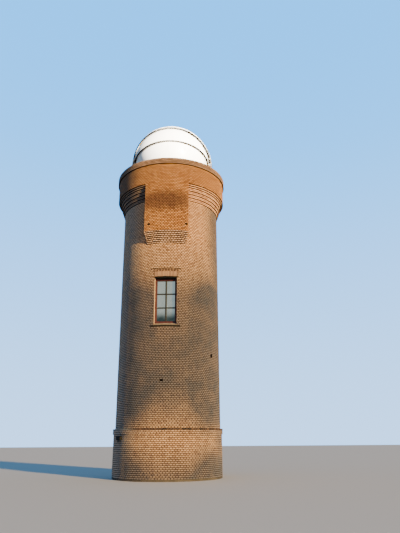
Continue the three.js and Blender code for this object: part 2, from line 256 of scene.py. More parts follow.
def round_sweep(outline: Outline, start: float = 0.0, end: float = FULL_TURN, facet: float = 0.04) -> Form:
    """Carries a closed outline round the tower.

    A point (r, z) of the outline goes to (r sin a, -r cos a, z) at azimuth a.

    Args:
        outline: Points (r, z).
        start: First azimuth in radians.
        end: Last azimuth; a full turn from start closes the ring.
        facet: Largest step in radians.

    Returns:
        A closed ring or a closed stretch of it.
    """
    full = abs(end - start) > FULL_TURN - 1e-6
    steps = max(2, int(np.ceil((end - start) / facet)))
    azimuth = np.linspace(start, end, steps + 1)[: steps if full else None]
    radius, height = np.array(outline, float).T
    return woven(polar(radius, azimuth[:, None], height), full)


def front_sweep(outline: Outline, half: float) -> Form:
    """Carries a closed outline across the front, between two ends that are parallel to each other.

    At part u of the way, a point (r, z) of the outline lies at height z and at the azimuth that runs evenly
    from arcsin(-half / r) to arcsin(half / r).

    Args:
        outline: Points (r, z).
        half: Distance of each end from the middle of the front.

    Returns:
        A closed stretch.
    """
    radius, height = np.array(outline, float).T
    steps = max(2, int(np.ceil(2 * half / 0.06)))
    part = np.linspace(0.0, 1.0, steps + 1)[:, None]
    azimuth = np.arcsin(-half / radius) * (1 - part) + np.arcsin(half / radius) * part
    return woven(polar(radius, azimuth, height), False)


def lathe_turned(outline: Outline, sides: int) -> Form:
    """Turns an outline about the dome's pivot axis, which runs along X.

    A point (x, r) goes to (x, r cos b, r sin b) at angle b. On the axis r is 0.4 mm, to keep points apart.

    Args:
        outline: Closed outline of points (x, r).
        sides: Facets round the axis.

    Returns:
        A closed ring, or a solid where the outline touches the axis.
    """
    angle = (np.arange(sides) * FULL_TURN / sides)[:, None]
    along, radius = np.array(outline, float).T
    radius = np.maximum(radius, 0.0004)
    return woven(stacked(along, radius * np.cos(angle), radius * np.sin(angle)), True)


def framed(left: float, low: float, right: float, high: float, section: Outline) -> Form:
    """Mitres a moulded section round an upright rectangle that faces the front.

    A section point (d, y) lies d inside the rectangle's edge at depth y.

    Args:
        left: Left edge.
        low: Lower edge.
        right: Right edge.
        high: Upper edge.
        section: Closed outline of points (d, y).

    Returns:
        A closed mitred frame.
    """
    inset, depth = np.array(section, float).T
    across = np.stack([left + inset, right - inset, right - inset, left + inset])
    height = np.stack([low + inset, low + inset, high - inset, high - inset])
    return woven(stacked(across, depth, height), True)


def bar(start: tuple[float, float], end: tuple[float, float], section: Outline) -> Form:
    """Runs a section straight from one point to another in an upright plane that faces the front.

    A section point (s, y) lies s beside the line at depth y.

    Args:
        start: Point (x, z).
        end: Point (x, z).
        section: Closed outline of points (s, y).

    Returns:
        A closed bar with square ends.
    """
    beside, depth = np.array(section, float).T
    ends = np.array([start, end], float)
    along = (ends[1] - ends[0]) / np.linalg.norm(ends[1] - ends[0])
    flat = ends[:, None, :] + beside[None, :, None] * np.array([-along[1], along[0]])
    return woven(stacked(flat[..., 0], depth, flat[..., 1]), False)


def blocks(
    azimuth: np.ndarray,
    half: Sizes,
    low: Sizes,
    high: Sizes,
    back: Sizes,
    face: Sizes,
    tone: Sizes,
    chamfer: float = 0.004,
    foot: float = 0.0,
) -> Form:
    """Closed blocks with chamfered faces, twelve corners and ten faces each.

    With outward n = (sin a, -cos a) and sideways s = (cos a, sin a), a corner is r n + w s at height z. The
    four back corners lie at r = back, four at the foot of the chamfer and four on the face at r = face.

    Args:
        azimuth: Middle of each block, in radians.
        half: Half width, for each block or for all, as in what follows.
        low: Lower edge.
        high: Upper edge.
        back: Radius of the hidden end.
        face: Radius of the face that shows.
        tone: Shade.
        chamfer: Width of the chamfer.
        foot: Added to the tone of the underside and lower edges, towards the near-black last shade: painted
            shade under each brick.

    Returns:
        One form that holds all the blocks.
    """
    spread = np.broadcast_arrays(azimuth, half, low, high, back, face, tone)
    azimuth, half, low, high, back, face, tone = spread
    count = len(azimuth)
    side = np.array([-1.0, 1.0, 1.0, -1.0])
    rise = np.array([0.0, 0.0, 1.0, 1.0])
    inset = np.array([0.0, 0.0, chamfer])
    shoulder = face - chamfer * np.sign(face - back)
    radius = np.stack([back, shoulder, face], axis=1)[:, :, None] + np.zeros(4)
    width = (half[:, None] - inset)[:, :, None] * side
    height = np.where(rise > 0, (high[:, None] - inset)[:, :, None], (low[:, None] + inset)[:, :, None])
    sin, cos = np.sin(azimuth)[:, None, None], np.cos(azimuth)[:, None, None]
    points = stacked(radius * sin + width * cos, -radius * cos + width * sin, height)
    ring = np.arange(4)
    ahead = (ring + 1) % 4
    sides = np.concatenate([np.stack([ring, ahead, ahead + 4, ring + 4], 1) + 4 * part for part in (0, 1)])
    one = np.concatenate([[[3, 2, 1, 0]], sides, [[8, 9, 10, 11]]])
    corners = (one[None] + 12 * np.arange(count)[:, None, None]).ravel()
    # Painted shade: the lower corners of the back and chamfer rings darken towards the palette's near-black
    # end, so each underside reads as in shade.
    shades = tone[:, None] + foot * np.concatenate([1 - rise, 1 - rise, np.zeros(4)])
    shades = np.clip(shades, 0.0, 1.0).ravel()
    return Form(points.reshape(-1, 3), corners, np.full(10 * count, 4), shades).outward()


def linear(colour: str) -> tuple[float, float, float, float]:
    """Turns an sRGB hex colour into linear numbers.

    Args:
        colour: Hex value such as #c69c74.

    Returns:
        Red, green, blue and an alpha of 1.
    """
    parts = np.array([int(colour[place : place + 2], 16) / 255 for place in (1, 3, 5)])
    red, green, blue = np.where(parts <= 0.04045, parts / 12.92, ((parts + 0.055) / 1.055) ** 2.4)
    return float(red), float(green), float(blue), 1.0


def add_node(tree: Tree, kind: str, sockets: dict | None = None, **settings: str) -> bpy.types.Node:
    """Adds a node, sets it up and links it.

    Args:
        tree: The material's tree.
        kind: Blender's name of the node type.
        sockets: Values or output sockets for the node's inputs, by name or number.
        **settings: The node's own properties.

    Returns:
        The node.
    """
    node = tree.nodes.new(kind)
    for key, value in settings.items():
        setattr(node, key, value)
    for key, value in (sockets or {}).items():
        if isinstance(value, Socket):
            tree.links.new(value, node.inputs[key])
        else:
            node.inputs[key].default_value = value
    return node


def grained(
    tree: Tree, place: Socket, millimetres: float, detail: float = 3.0, drawn: tuple | None = None
) -> Socket:
    """A cloudy grain on Object coordinates, drawn out along an axis where its scale is under 1.

    Args:
        tree: The material's tree.
        place: Socket of the coordinates.
        millimetres: Width of its patches.
        detail: How fine it gets.
        drawn: Scale along each axis, if it is drawn out.

    Returns:
        The grain's value socket.
    """
    if drawn:
        place = add_node(tree, "ShaderNodeMapping", {"Vector": place, "Scale": drawn}).outputs[0]
    sockets = {"Vector": place, "Scale": 1000.0 / millimetres, "Detail": detail, "Roughness": 0.6}
    return add_node(tree, "ShaderNodeTexNoise", sockets).outputs["Fac"]


def combined(tree: Tree, operation: str, *terms: Term) -> Term:
    """Combines values by one operation of arithmetic and holds each result between 0 and 1.

    Args:
        tree: The material's tree.
        operation: Blender's name of the operation.
        *terms: Numbers, sockets, or ranges (socket, low, high, start, end). A range is start where its value
            is up to low and end from high on, with a smooth step between. Without the last two it goes from 0
            to 1.

    Returns:
        The result, or the term where there is only one.
    """
    total = None
    for term in terms:
        if isinstance(term, tuple):
            limits = dict(zip(("Value", "From Min", "From Max", "To Min", "To Max"), term))
            term = add_node(tree, "ShaderNodeMapRange", limits, interpolation_type="SMOOTHSTEP").outputs[0]
        if total is not None:
            pair = {0: total, 1: term}
            term = add_node(tree, "ShaderNodeMath", pair, operation=operation, use_clamp=True).outputs[0]
        total = term
    return total


def coated(tree: Tree, colour: str | Socket, coat: str, *shares: Term) -> Socket:
    """Lays a colour over another, as thickly as the product of some shares says.

    Args:
        tree: The material's tree.
        colour: Hex value or socket of the colour below.
        coat: Hex value of the coat.
        *shares: Terms such as combined takes.

    Returns:
        The mixed colour's socket.
    """
    below = linear(colour) if isinstance(colour, str) else colour
    sockets = {0: combined(tree, "MULTIPLY", *shares), 6: below, 7: linear(coat)}
    return add_node(tree, "ShaderNodeMix", sockets, data_type="RGBA").outputs[2]


def soft_spot(tree: Tree, place: Socket, middle: tuple, size: tuple, lean: float = 0.0) -> tuple:
    """A soft egg-shaped spot, 1 in its middle and 0 at its rim.

    Args:
        tree: The material's tree.
        place: Socket of the coordinates.
        middle: Its middle.
        size: Its half widths.
        lean: Turn in the upright plane, in radians.

    Returns:
        The spot as a range for combined.
    """
    mapping = {"Vector": place, "Location": middle, "Rotation": (0.0, lean, 0.0), "Scale": size}
    moved = add_node(tree, "ShaderNodeMapping", mapping, vector_type="TEXTURE").outputs[0]
    spot = add_node(tree, "ShaderNodeTexGradient", {"Vector": moved}, gradient_type="SPHERICAL")
    return spot.outputs["Fac"], 0.0, 0.7


def facing(tree: Tree, place: Socket, azimuth: float) -> Socket:
    """How far a point of a round wall faces an azimuth: the cosine of the angle between the two.

    Args:
        tree: The material's tree.
        place: Socket of the coordinates.
        azimuth: The azimuth in degrees, from the front.

    Returns:
        The cosine's socket.
    """
    kind, turn = "ShaderNodeVectorMath", np.radians(azimuth)
    flat = add_node(tree, kind, {0: place, 1: (1.0, 1.0, 0.0)}, operation="MULTIPLY").outputs[0]
    unit = add_node(tree, kind, {0: flat}, operation="NORMALIZE").outputs[0]
    way = (float(np.sin(turn)), -float(np.cos(turn)), 0.0)
    return add_node(tree, kind, {0: unit, 1: way}, operation="DOT_PRODUCT").outputs["Value"]


def palette(tree: Tree, value: Socket, colours: tuple) -> Socket:
    """Spreads shades evenly over a value from 0 to 1.

    Args:
        tree: The material's tree.
        value: Socket of the value.
        colours: Hex colours, or plain shares.

    Returns:
        The colour's socket.
    """
    ramp = add_node(tree, "ShaderNodeValToRGB", {"Fac": value})
    stops = ramp.color_ramp.elements
    shades = [linear(part) if isinstance(part, str) else (part, part, part, 1.0) for part in colours]
    stops[0].color, stops[-1].color = shades[0], shades[-1]
    for place, shade in zip(np.linspace(0.0, 1.0, len(colours))[1:-1], shades[1:-1]):
        stops.new(float(place)).color = shade
    return ramp.outputs["Color"]


def new_finish(name: str) -> tuple[Material, Tree, Socket]:
    """Starts a material.

    Args:
        name: Its name.

    Returns:
        The material, its empty tree and the socket of the Object coordinates.
    """
    material = bpy.data.materials.new(name)
    material.use_nodes = True
    tree = material.node_tree
    tree.nodes.clear()
    return material, tree, add_node(tree, "ShaderNodeTexCoord").outputs["Object"]


def finished(
    tree: Tree,
    colour: Socket | tuple,
    rough: Term,
    relief: Socket | None = None,
    depth: float = 0.0,
    **shader: float,
) -> None:
    """Ends a material with its shader and bump.

    Args:
        tree: The material's tree.
        colour: Colour or socket.
        rough: Roughness, as a number, a socket or a range for combined.
        relief: Socket of the bump's height, if it has one.
        depth: Height of the bump in metres.
        **shader: Further constants for the shader's own sockets, with underscores for spaces.
    """
    sockets = {"Base Color": colour, "Roughness": combined(tree, "MULTIPLY", rough)}
    sockets.update({key.replace("_", " "): value for key, value in shader.items()})
    if relief is not None:
        bump = {"Height": relief, "Strength": 1.0, "Distance": depth}
        sockets["Normal"] = add_node(tree, "ShaderNodeBump", bump).outputs[0]
    surface = add_node(tree, "ShaderNodeBsdfPrincipled", sockets).outputs[0]
    add_node(tree, "ShaderNodeOutputMaterial", {"Surface": surface})


@dataclass(frozen=True)
class FacingBrick:
    """Wire-cut clay facing brick, fired unevenly. The eye gets a change of shade from brick to brick.

    Attributes:
        name: Name of the finish.
        colours: Shades from the palest to the darkest, the last a near-black painted shade for the
            undersides.
        painted_flank_shade: Colour of the painted shade laid on the flank that the sun misses, grey and cool.
        reach: Cosines, from that flank's middle, where the painted shade starts and where it is full.
        has_painted_shade: Whether it carries painted shade, a blue-grey standing in for the shade that trees
            and the flanks give.
        levels: How much painted shade there is at even steps of 1.5 m from the ground up, as shares.
        stained: Whether the front carries a darker reddish band across the bay and a lime streak.
    """

    name: str
    colours: tuple[str, ...]
    painted_flank_shade: str = "#8d9292"
    reach: tuple[float, float] = (0.56, 0.90)
    has_painted_shade: bool = False
    levels: tuple[float, ...] = (0.88, 0.24, 0.80, 1.0, 0.84, 0.84, 0.26, 0.0)
    stained: bool = False

    def material(self) -> Material:
        """Builds the brick's material.

        Returns:
            The material.
        """
        material, tree, place = new_finish(self.name)
        tone = add_node(tree, "ShaderNodeAttribute", attribute_name="tone").outputs["Fac"]
        patchy = (grained(tree, place, 900.0, 4.0), 0.3, 0.7, 0.88, 1.0)
        speck = grained(tree, place, 9.0, 2.0)
        colour = palette(tree, combined(tree, "ADD", tone, (speck, 0.35, 0.7, -0.08, 0.08)), self.colours)
        # Painted shade: a cool grey over the flank turned from the sun, darkening and cooling the shaded
        # side.
        shaded = (facing(tree, place, -80.0), *self.reach, 0.0, 0.8)
        colour = coated(tree, colour, self.painted_flank_shade, shaded, patchy)
        if self.has_painted_shade:
            colour = self.painted_shade(tree, place, colour, patchy)
        if self.stained:
            colour = self.stains(tree, place, colour)
        relief = grained(tree, place, 6.0, 4.0)
        finished(tree, colour, (speck, 0.2, 0.8, 0.82, 0.95), relief, 0.0012, Diffuse_Roughness=1.0)
        return material

    def painted_shade(self, tree: Tree, place: Socket, colour: Socket, patchy: tuple) -> Socket:
        """Paints shade by height, thicker where the wall turns to the flanks and thin at the rear.

        Args:
            tree: The material's tree.
            place: Socket of the coordinates.
            colour: Socket of the colour so far.
            patchy: Range that makes it patchy.

        Returns:
            The colour's socket, with the painted shade on it.
        """
        left, right, unlit_side = (facing(tree, place, azimuth) for azimuth in (-65.0, 95.0, -80.0))
        height = add_node(tree, "ShaderNodeSeparateXYZ", {0: place}).outputs["Z"]
        rising = palette(tree, combined(tree, "DIVIDE", height, 10.5), self.levels)
        banded = add_node(tree, "ShaderNodeRGBToBW", {0: rising}).outputs[0]
        edges = combined(tree, "MAXIMUM", (left, 0.5, 0.85, 0.0, 0.45), (right, 0.25, 0.8, 0.0, 0.8))
        share = combined(tree, "ADD", banded, combined(tree, "MULTIPLY", banded, edges))
        share = combined(tree, "MAXIMUM", share, (right, 0.60, 0.94, 0.0, 0.85))
        share = combined(tree, "MINIMUM", share, 0.95)
        unlit_fade = (unlit_side, 0.76, 0.95, 1.0, 0.05)
        front_side = (facing(tree, place, 15.0), -0.35, 0.42, 0.15, 1.0)
        # Painted shade: a blue-grey like a wall in shade under a blue sky. It is kept off the unlit flank,
        # which the lamp and the flank shade already darken.
        return coated(tree, colour, "#3e495a", share, unlit_fade, patchy, front_side)

    def stains(self, tree: Tree, place: Socket, colour: Socket) -> Socket:
        """Adds a darker reddish band across the front bay and the lime streak below the right outlet.

        Args:
            tree: The material's tree.
            place: Socket of the coordinates.
            colour: Socket of the colour so far.

        Returns:
            The stained colour's socket.
        """
        dark_band = soft_spot(tree, place, (-0.12, -2.7, 12.18), (2.1, 1.1, 0.74))
        ragged = (grained(tree, place, 220.0, 4.0), 0.25, 0.6, 0.7, 1.0)
        colour = coated(tree, colour, "#58362b", dark_band, ragged, 0.8)
        streak = soft_spot(tree, place, (0.83, -2.6, 10.88), (0.04, 0.5, 0.17), 0.75)
        return coated(tree, colour, "#e6c8a4", streak, 0.4)


@dataclass(frozen=True)
class Clouded:
    """A finish that drifts in slow clouds from one colour towards another, over a fine grain in relief.

    Attributes:
        name: Name of the finish.
        colour: Its first colour.
        other: Its colour in the clouds.
        clouds: Width of the clouds in millimetres, and how fine they get.
        drift: Grain values where the other colour starts and is full, and the shares it has there.
        grain: Width of the fine grain in millimetres, how fine it gets, and its scale along each axis.
        depth: Height of the grain in metres.
        rough: Roughness all over, or outside and inside the clouds.
        pits: Colour of the dirt in the grain's pits, if any.
        metallic: Whether it is bare metal.
        specular: Specular level of the shader.
    """

    name: str
    colour: str
    other: str
    clouds: tuple[float, float] = (400.0, 3.0)
    drift: tuple[float, ...] = (0.3, 0.7)
    grain: tuple = (5.0, 3.0)
    depth: float = 0.001
    rough: tuple[float, ...] = (0.9,)
    pits: str | None = None
    metallic: float = 0.0
    specular: float = 0.5

    def material(self) -> Material:
        """Builds the finish's material.

        Returns:
            The material.
        """
        material, tree, place = new_finish(self.name)
        cloud = grained(tree, place, *self.clouds)
        fine = grained(tree, place, *self.grain)
        colour = coated(tree, self.colour, self.other, (cloud, *self.drift))
        if self.pits:
            colour = coated(tree, colour, self.pits, (fine, 0.6, 0.8, 0.0, 0.4))
        rough = self.rough[0] if len(self.rough) == 1 else (cloud, 0.3, 0.7, *self.rough)
        shader = {"Metallic": self.metallic, "Specular_IOR_Level": self.specular}
        finished(tree, colour, rough, fine, self.depth, **shader)
        return material


@dataclass(frozen=True)
class LimeMortar(Clouded):
    """Weathered lime mortar, struck back from the bricks. The eye gets a dull dark line round each one."""

    depth: float = 0.0015
    rough: tuple[float, ...] = (0.95,)
    specular: float = 0.1


@dataclass(frozen=True)
class OilPaint(Clouded):
    """Oil paint brushed on planed softwood. The eye gets a soft gloss with the grain just felt through it."""

    clouds: tuple[float, float] = (120.0, 4.0)
    drift: tuple[float, ...] = (0.45, 0.75, 0.0, 0.5)
    grain: tuple = (7.0, 3.0, (1.0, 1.0, 0.08))
    depth: float = 0.0006
    rough: tuple[float, ...] = (0.42, 0.60)


@dataclass(frozen=True)
class Concrete(Clouded):
    """Trowelled concrete. The eye gets a flat grey with fine pores and darker wet patches."""

    clouds: tuple[float, float] = (520.0, 5.0)
    drift: tuple[float, ...] = (0.38, 0.68)
    grain: tuple = (8.0, 5.0)
    rough: tuple[float, ...] = (0.9, 0.7)
    pits: str | None = "#44403b"


@dataclass(frozen=True)
class TurnedSteel(Clouded):
    """Steel turned on a lathe and greased. The eye gets fine rings and a dark oily film."""

    clouds: tuple[float, float] = (30.0, 3.0)
    drift: tuple[float, ...] = (0.4, 0.7)
    grain: tuple = (2.0, 2.0, (1.0, 0.02, 0.02))
    depth: float = 0.0002
    rough: tuple[float, ...] = (0.3, 0.5)
    metallic: float = 1.0


@dataclass(frozen=True)
class PowderCoat(Clouded):
    """Satin black powder coat on sheet steel. The eye gets a fine orange-peel surface, chalky with age."""

    clouds: tuple[float, float] = (60.0, 4.0)
    drift: tuple[float, ...] = (0.4, 0.7)
    grain: tuple = (2.5, 2.0)
    depth: float = 0.0002
    rough: tuple[float, ...] = (0.5, 0.7)
    specular: float = 0.15


@dataclass(frozen=True)
class LimeRender(Clouded):
    """Thin lime render, brushed smooth. The eye gets a pale warm edge round the window, where it is clean."""

    clouds: tuple[float, float] = (180.0, 4.0)
    drift: tuple[float, ...] = (0.42, 0.72)
    grain: tuple = (12.0, 4.0)


@dataclass(frozen=True)
class FloatGlass:
    """Float glass that mirrors a bright sky. The eye gets even pale panes, the lowest ones dark at the foot
    with a painted reflection.

    Attributes:
        pale: What most of the glass gives back.
        dark: Colour of the painted reflection at its foot.
        levels: Heights between which it turns from the painted dark to pale.
    """

    pale: str = "#c3cdc2"
    dark: str = "#394945"
    levels: tuple[float, float] = (6.58, 7.06)

    def material(self) -> Material:
        """Builds the glass's material.

        Returns:
            The material.
        """
        material, tree, place = new_finish("float_glass")
        height = add_node(tree, "ShaderNodeSeparateXYZ", {0: place}).outputs["Z"]
        ripple = grained(tree, place, 260.0, 1.0)
        # Painted reflection: dark at the foot of the lowest panes, pale above.
        share = combined(tree, "ADD", (height, *self.levels), (ripple, 0.3, 0.7, -0.08, 0.08))
        colour = coated(tree, self.dark, self.pale, share)
        finished(tree, colour, 0.1, ripple, 0.0004, Metallic=0.9, Coat_Weight=0.3, Coat_Roughness=0.03)
        return material


@dataclass(frozen=True)
class Gelcoat:
    """White gelcoat on glass fibre, polished from its mould. The eye gets a clean sheen, with a little grime.

    Attributes:
        colour: Colour of the gelcoat.
        dust_and_lit_grey: Colour of the dirt that rain leaves in runs.
    """

    colour: str = "#fbfbf7"
    dust_and_lit_grey: str = "#e9e8e1"

    def material(self) -> Material:
        """Builds the gelcoat's material.

        Returns:
            The material.
        """
        material, tree, place = new_finish("white_gelcoat")
        runs = grained(tree, place, 130.0, 4.0, (1.0, 1.0, 0.16))
        cloud = grained(tree, place, 700.0)
        colour = coated(tree, self.colour, self.dust_and_lit_grey, (runs, 0.45, 0.8), (cloud, 0.3, 0.7))
        fairness = grained(tree, place, 380.0, 1.0)
        rough = (runs, 0.3, 0.8, 0.45, 0.58)
        finished(tree, colour, rough, fairness, 0.003, Coat_Weight=0.2, Coat_Roughness=0.3)
        return material


@dataclass(frozen=True)
class GapShadeRubber:
    """Black rubber. The eye gets a matt black line, painted shade in the gaps between shells, painted lit
    grey over the top.

    Attributes:
        colour: Colour of the rubber.
        dust_and_lit_grey: The painted lit grey over the dome's top, where light reaches into the gaps.
        lit_span: Distances from the middle between which the painted lit grey ends.
    """

    colour: str = "#050404"
    dust_and_lit_grey: str = "#79746c"
    lit_span: tuple[float, float] = (0.25, 0.95)

    def material(self) -> Material:
        """Builds the rubber's material.

        Returns:
            The material.
        """
        material, tree, place = new_finish("black_rubber_and_gap_shade")
        across = add_node(tree, "ShaderNodeSeparateXYZ", {0: place}).outputs["X"]
        aside = add_node(tree, "ShaderNodeMath", {0: across}, operation="ABSOLUTE").outputs[0]
        # Painted light and shade: grey near the middle, where light reaches into the gaps, black towards the
        # hubs, where they lie in shade.
        colour = coated(tree, self.dust_and_lit_grey, self.colour, (aside, *self.lit_span))
        finished(tree, colour, 0.85, grained(tree, place, 4.0, 2.0), 0.0003, Specular_IOR_Level=0.05)
        return material


class Finishes:
    """All the finishes of the tower, each made once."""

    def __init__(self) -> None:
        """Builds every material."""
        # The last, near-black shade of each brick palette is painted shade for the bricks' undersides.
        cream = ("#e8c19a", "#dcb38b", "#cea47c", "#b88d69", "#946d51", "#14100c")
        ochre = ("#d3a068", "#c48f58", "#b47e4a", "#9b693d", "#7a4e30", "#140c08")
        rose = ("#efc8a6", "#e2b692", "#d0a17e", "#b68567", "#93634c", "#0a0605")
        washed = ("#bd9b85", "#a98973", "#9c7d68", "#8b6f5c", "#74604f", "#0e0a08")
        blushed = ("#d8b9a5", "#cbab97", "#bd9d89", "#a48875", "#836c5c", "#0e0a08")
        burnt = ("#6e5546", "#4d3b33", "#362a26", "#221b19", "#120e0d")
        # Near-black bricks for the sill's nose and the hood's tiles, which give the dark lines under the
        # window and over its hood.
        near_black = ("#17130e", "#130f0b", "#10120a", "#0d1009", "#0b0906")
        # Darker painted flank shade for the head's bricks.
        painted_flank_shade = "#3a474e"
        self.cream_brick = FacingBrick("cream_facing_brick", cream, has_painted_shade=True).material()
        self.ochre_brick = FacingBrick("ochre_facing_brick", ochre, painted_flank_shade, stained=True).material()
        # On the cornice the painted flank shade starts nearer the front, painting the shadow that the bay
        # casts on it.
        self.rose_brick = FacingBrick("rose_facing_brick", rose, painted_flank_shade, (0.40, 0.62)).material()
        self.washed_brick = FacingBrick("washed_facing_brick", washed, painted_flank_shade).material()
        self.blushed_brick = FacingBrick("blushed_facing_brick", blushed, painted_flank_shade).material()
        self.burnt_brick = FacingBrick("overburnt_facing_brick", burnt).material()
        self.near_black_brick = FacingBrick("near_black_sill_brick", near_black).material()
        self.cream_mortar = LimeMortar("lime_mortar", "#1b1611", "#100d0a").material()
        self.ochre_mortar = LimeMortar("ochre_lime_mortar", "#1d130b", "#110b07").material()
        # Near-black mortar for the corbels' cores, the string course and the hood's bed: painted shade in the
        # soffits and recesses.
        self.painted_shade_mortar = LimeMortar("painted_shade_lime_mortar", "#0c0907", "#070504").material()
        self.red_paint = OilPaint("red_oil_paint", "#3c0c10", "#4c191b").material()
        self.green_paint = OilPaint("green_oil_paint", "#161b1a", "#272d2b").material()
        self.glass = FloatGlass().material()
        self.gelcoat = Gelcoat().material()
        self.concrete = Concrete("trowelled_concrete", "#8d8880", "#5e5a54").material()
        # Dark concrete for the foundation slab, giving a dark line at the tower's foot.
        self.dark_concrete = Concrete("dark_concrete", "#4c4740", "#302c27").material()
        self.steel = TurnedSteel("turned_steel", "#a4a7a9", "#6a6560").material()
        self.black = PowderCoat("black_powder_coat", "#0a0a0b", "#141413").material()
        self.render = LimeRender("lime_render", "#d8bba0", "#b08f70").material()
        self.worn_render = LimeRender("weathered_lime_render", "#8b7f70", "#6a5f52").material()
        self.rubber = GapShadeRubber().material()


def placed(
    name: str,
    form: Form,
    finish: Material,
    body: str = "tower",
    nodes: tuple[str, ...] = (),
    sharp: float | None = None,
) -> None:
    """Makes a piece at the origin, lets it ride on a body and hides the CAD nodes it stands for.

    Args:
        name: Name of the piece.
        form: Its surface.
        finish: Its material.
        body: The body it moves with.
        nodes: CAD nodes it replaces.
        sharp: Smooth except at edges sharper than this many degrees; flat where not given.
    """
    mesh = bpy.data.meshes.new(name)
    mesh.vertices.add(len(form.points))
    mesh.vertices.foreach_set("co", form.points.astype(np.float32).ravel())
    mesh.loops.add(len(form.corners))
    mesh.loops.foreach_set("vertex_index", form.corners.astype(np.int32))
    mesh.polygons.add(len(form.sizes))
    mesh.polygons.foreach_set("loop_start", form.layout()[0].astype(np.int32))
    mesh.polygons.foreach_set("use_smooth", np.full(len(form.sizes), sharp is not None))
    mesh.attributes.new("tone", "FLOAT", "POINT").data.foreach_set("value", form.tone.astype(np.float32))
    mesh.update(calc_edges=True)
    mesh.validate()
    if sharp is not None:
        mesh.set_sharp_from_angle(angle=np.radians(sharp))
    mesh.materials.append(finish)
    made = bpy.data.objects.new(name, mesh)
    bpy.context.scene.collection.objects.link(made)
    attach(made, body)
    if nodes:
        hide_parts(*nodes)
    log.info("%s: %d faces, %d points", name, len(form.sizes), len(form.points))


def round_stretches(gaps: Ranges) -> Ranges:
    """Parts of a full turn that no gap covers.

    Args:
        gaps: Ranges of azimuth in radians, apart from each other.

    Returns:
        The ranges between them.
    """
    ordered = sorted(gaps)
    following = ordered[1:] + [(ordered[0][0] + FULL_TURN, 0.0)]
    return [(gap[1], after[0]) for gap, after in zip(ordered, following)]


def spread(count: int, pitch: float, middle: float) -> np.ndarray:
    """Returns the azimuths of so many bricks on the shaft's face, a pitch apart and round a middle."""
    return (np.arange(count) - (count - 1) / 2) * pitch / SHAFT_R + middle


def chamfered(half: float, bevel: float, face: float, back: float) -> Outline:
    """Draws the section of a bar whose face has two edges chamfered at 45 degrees.

    Args:
        half: Half the bar's width.
        bevel: Width of the chamfers.
        face: Depth of the face.
        back: Depth of the back.

    Returns:
        Its outline.
    """
    flat, edge = half - bevel, face + bevel
    return [(-half, back), (-half, edge), (-flat, face), (flat, face), (half, edge), (half, back)]


def on_both_sides(half: float) -> Ranges:
    """Returns the same gap on the front and on the rear side, from half its width in radians."""
    return [(side.value - half, side.value + half) for side in Side]


@dataclass
class Brickwork:
    """Lays bricks in header bond, course by course, on a round face.

    Attributes:
        joint: Width of a mortar joint.
        proud: How far the bricks stand out of the mortar.
        depth: How far they reach back into the wall.
        wander: How far a brick strays from its place.
        seed: Start of the chance numbers for shades and straying.
        rng: Where the chance numbers come from.
    """

    joint: float = 0.022
    proud: float = 0.008
    depth: float = 0.024
    wander: float = 0.0016
    seed: int = 11
    rng: np.random.Generator = field(init=False)

    def __post_init__(self) -> None:
        """Seeds the chance numbers."""
        self.rng = np.random.default_rng(self.seed)

    def edges(self, radius: float, course: int, stretch: tuple[float, float] | None) -> np.ndarray:
        """Azimuths of the joints in one course.

        With a the turn of one 130 mm header, the joints lie at (i + s / 2) a, where s is 0 and 1 by turns.

        Args:
            radius: Radius of the face.
            course: Number of the course.
            stretch: Range of azimuth, or the whole circle.

        Returns:
            Rising azimuths, one more than there are bricks.
        """
        count = round(FULL_TURN * radius / HEADER)
        joints = (np.arange(-count, 2 * count + 1) + (course % 2) / 2) * FULL_TURN / count
        if stretch is None:
            return joints[count : 2 * count + 1]
        sliver = 0.045 / radius
        inside = joints[(joints > stretch[0] + sliver) & (joints < stretch[1] - sliver)]
        return np.concatenate([[stretch[0]], inside, [stretch[1]]])

    def course(
        self,
        radius: float,
        course: int,
        stretches: Ranges | None = None,
        back: float | None = None,
        joint: float | None = None,
        bed: float | None = None,
        shade: float = 0.0,
        foot: float = 1.0,
    ) -> Form:
        """One course of bricks.

        Args:
            radius: Radius of the wall's face.
            course: Number of the course.
            stretches: Ranges of azimuth that have bricks, or the whole circle.
            back: Radius the bricks reach back to.
            joint: Width of the upright joints.
            bed: Height of the level joints.
            shade: Added to every brick's shade.
            foot: Added to the tone of the undersides, as painted shade.

        Returns:
            The bricks.
        """
        rows = [self.edges(radius, course, part) for part in (stretches or [None])]
        azimuth = np.concatenate([(row[1:] + row[:-1]) / 2 for row in rows])
        width = np.concatenate([np.diff(row) for row in rows]) * radius
        stray = self.rng.uniform(-1, 1, (4, len(azimuth))) * self.wander
        low = course * COURSE + (bed or self.joint) / 2 + stray[0]
        high = (course + 1) * COURSE - (bed or self.joint) / 2 + stray[1]
        outside = back is None or back < radius
        face = radius + (self.proud if outside else -self.proud) + stray[2] * 0.6
        deep = back if back is not None else radius - self.depth
        half = (width - (joint or self.joint)) / 2
        tone = np.clip(self.fired(len(azimuth)) + shade, 0.0, 1.0)
        return blocks(azimuth + stray[3] / radius, half, low, high, deep, face, tone, foot=foot)

    def fired(self, count: int) -> np.ndarray:
        """Returns a shade for each of so many bricks: most pale or middling, a few much darker."""
        return 0.66 * self.rng.beta(1.4, 2.2, count) + 0.18 * (self.rng.random(count) < 0.03)

    def courses(
        self,
        radius: float,
        first: int,
        last: int,
        gaps: Callable[[int], Ranges] | None = None,
        **options: float,
    ) -> Form:
        """Several courses one above the other.

        Args:
            radius: Radius of the wall's face.
            first: Number of the lowest course.
            last: Number after the highest course.
            gaps: Function that gives a course's gaps, or nothing.
            **options: Passed on to each course.

        Returns:
            The bricks.
        """
        made = []
        for number in range(first, last):
            open_parts = gaps(number) if gaps else []
            stretches = round_stretches(open_parts) if open_parts else None
            made.append(self.course(radius, number, stretches, **options))
        return joined(made)


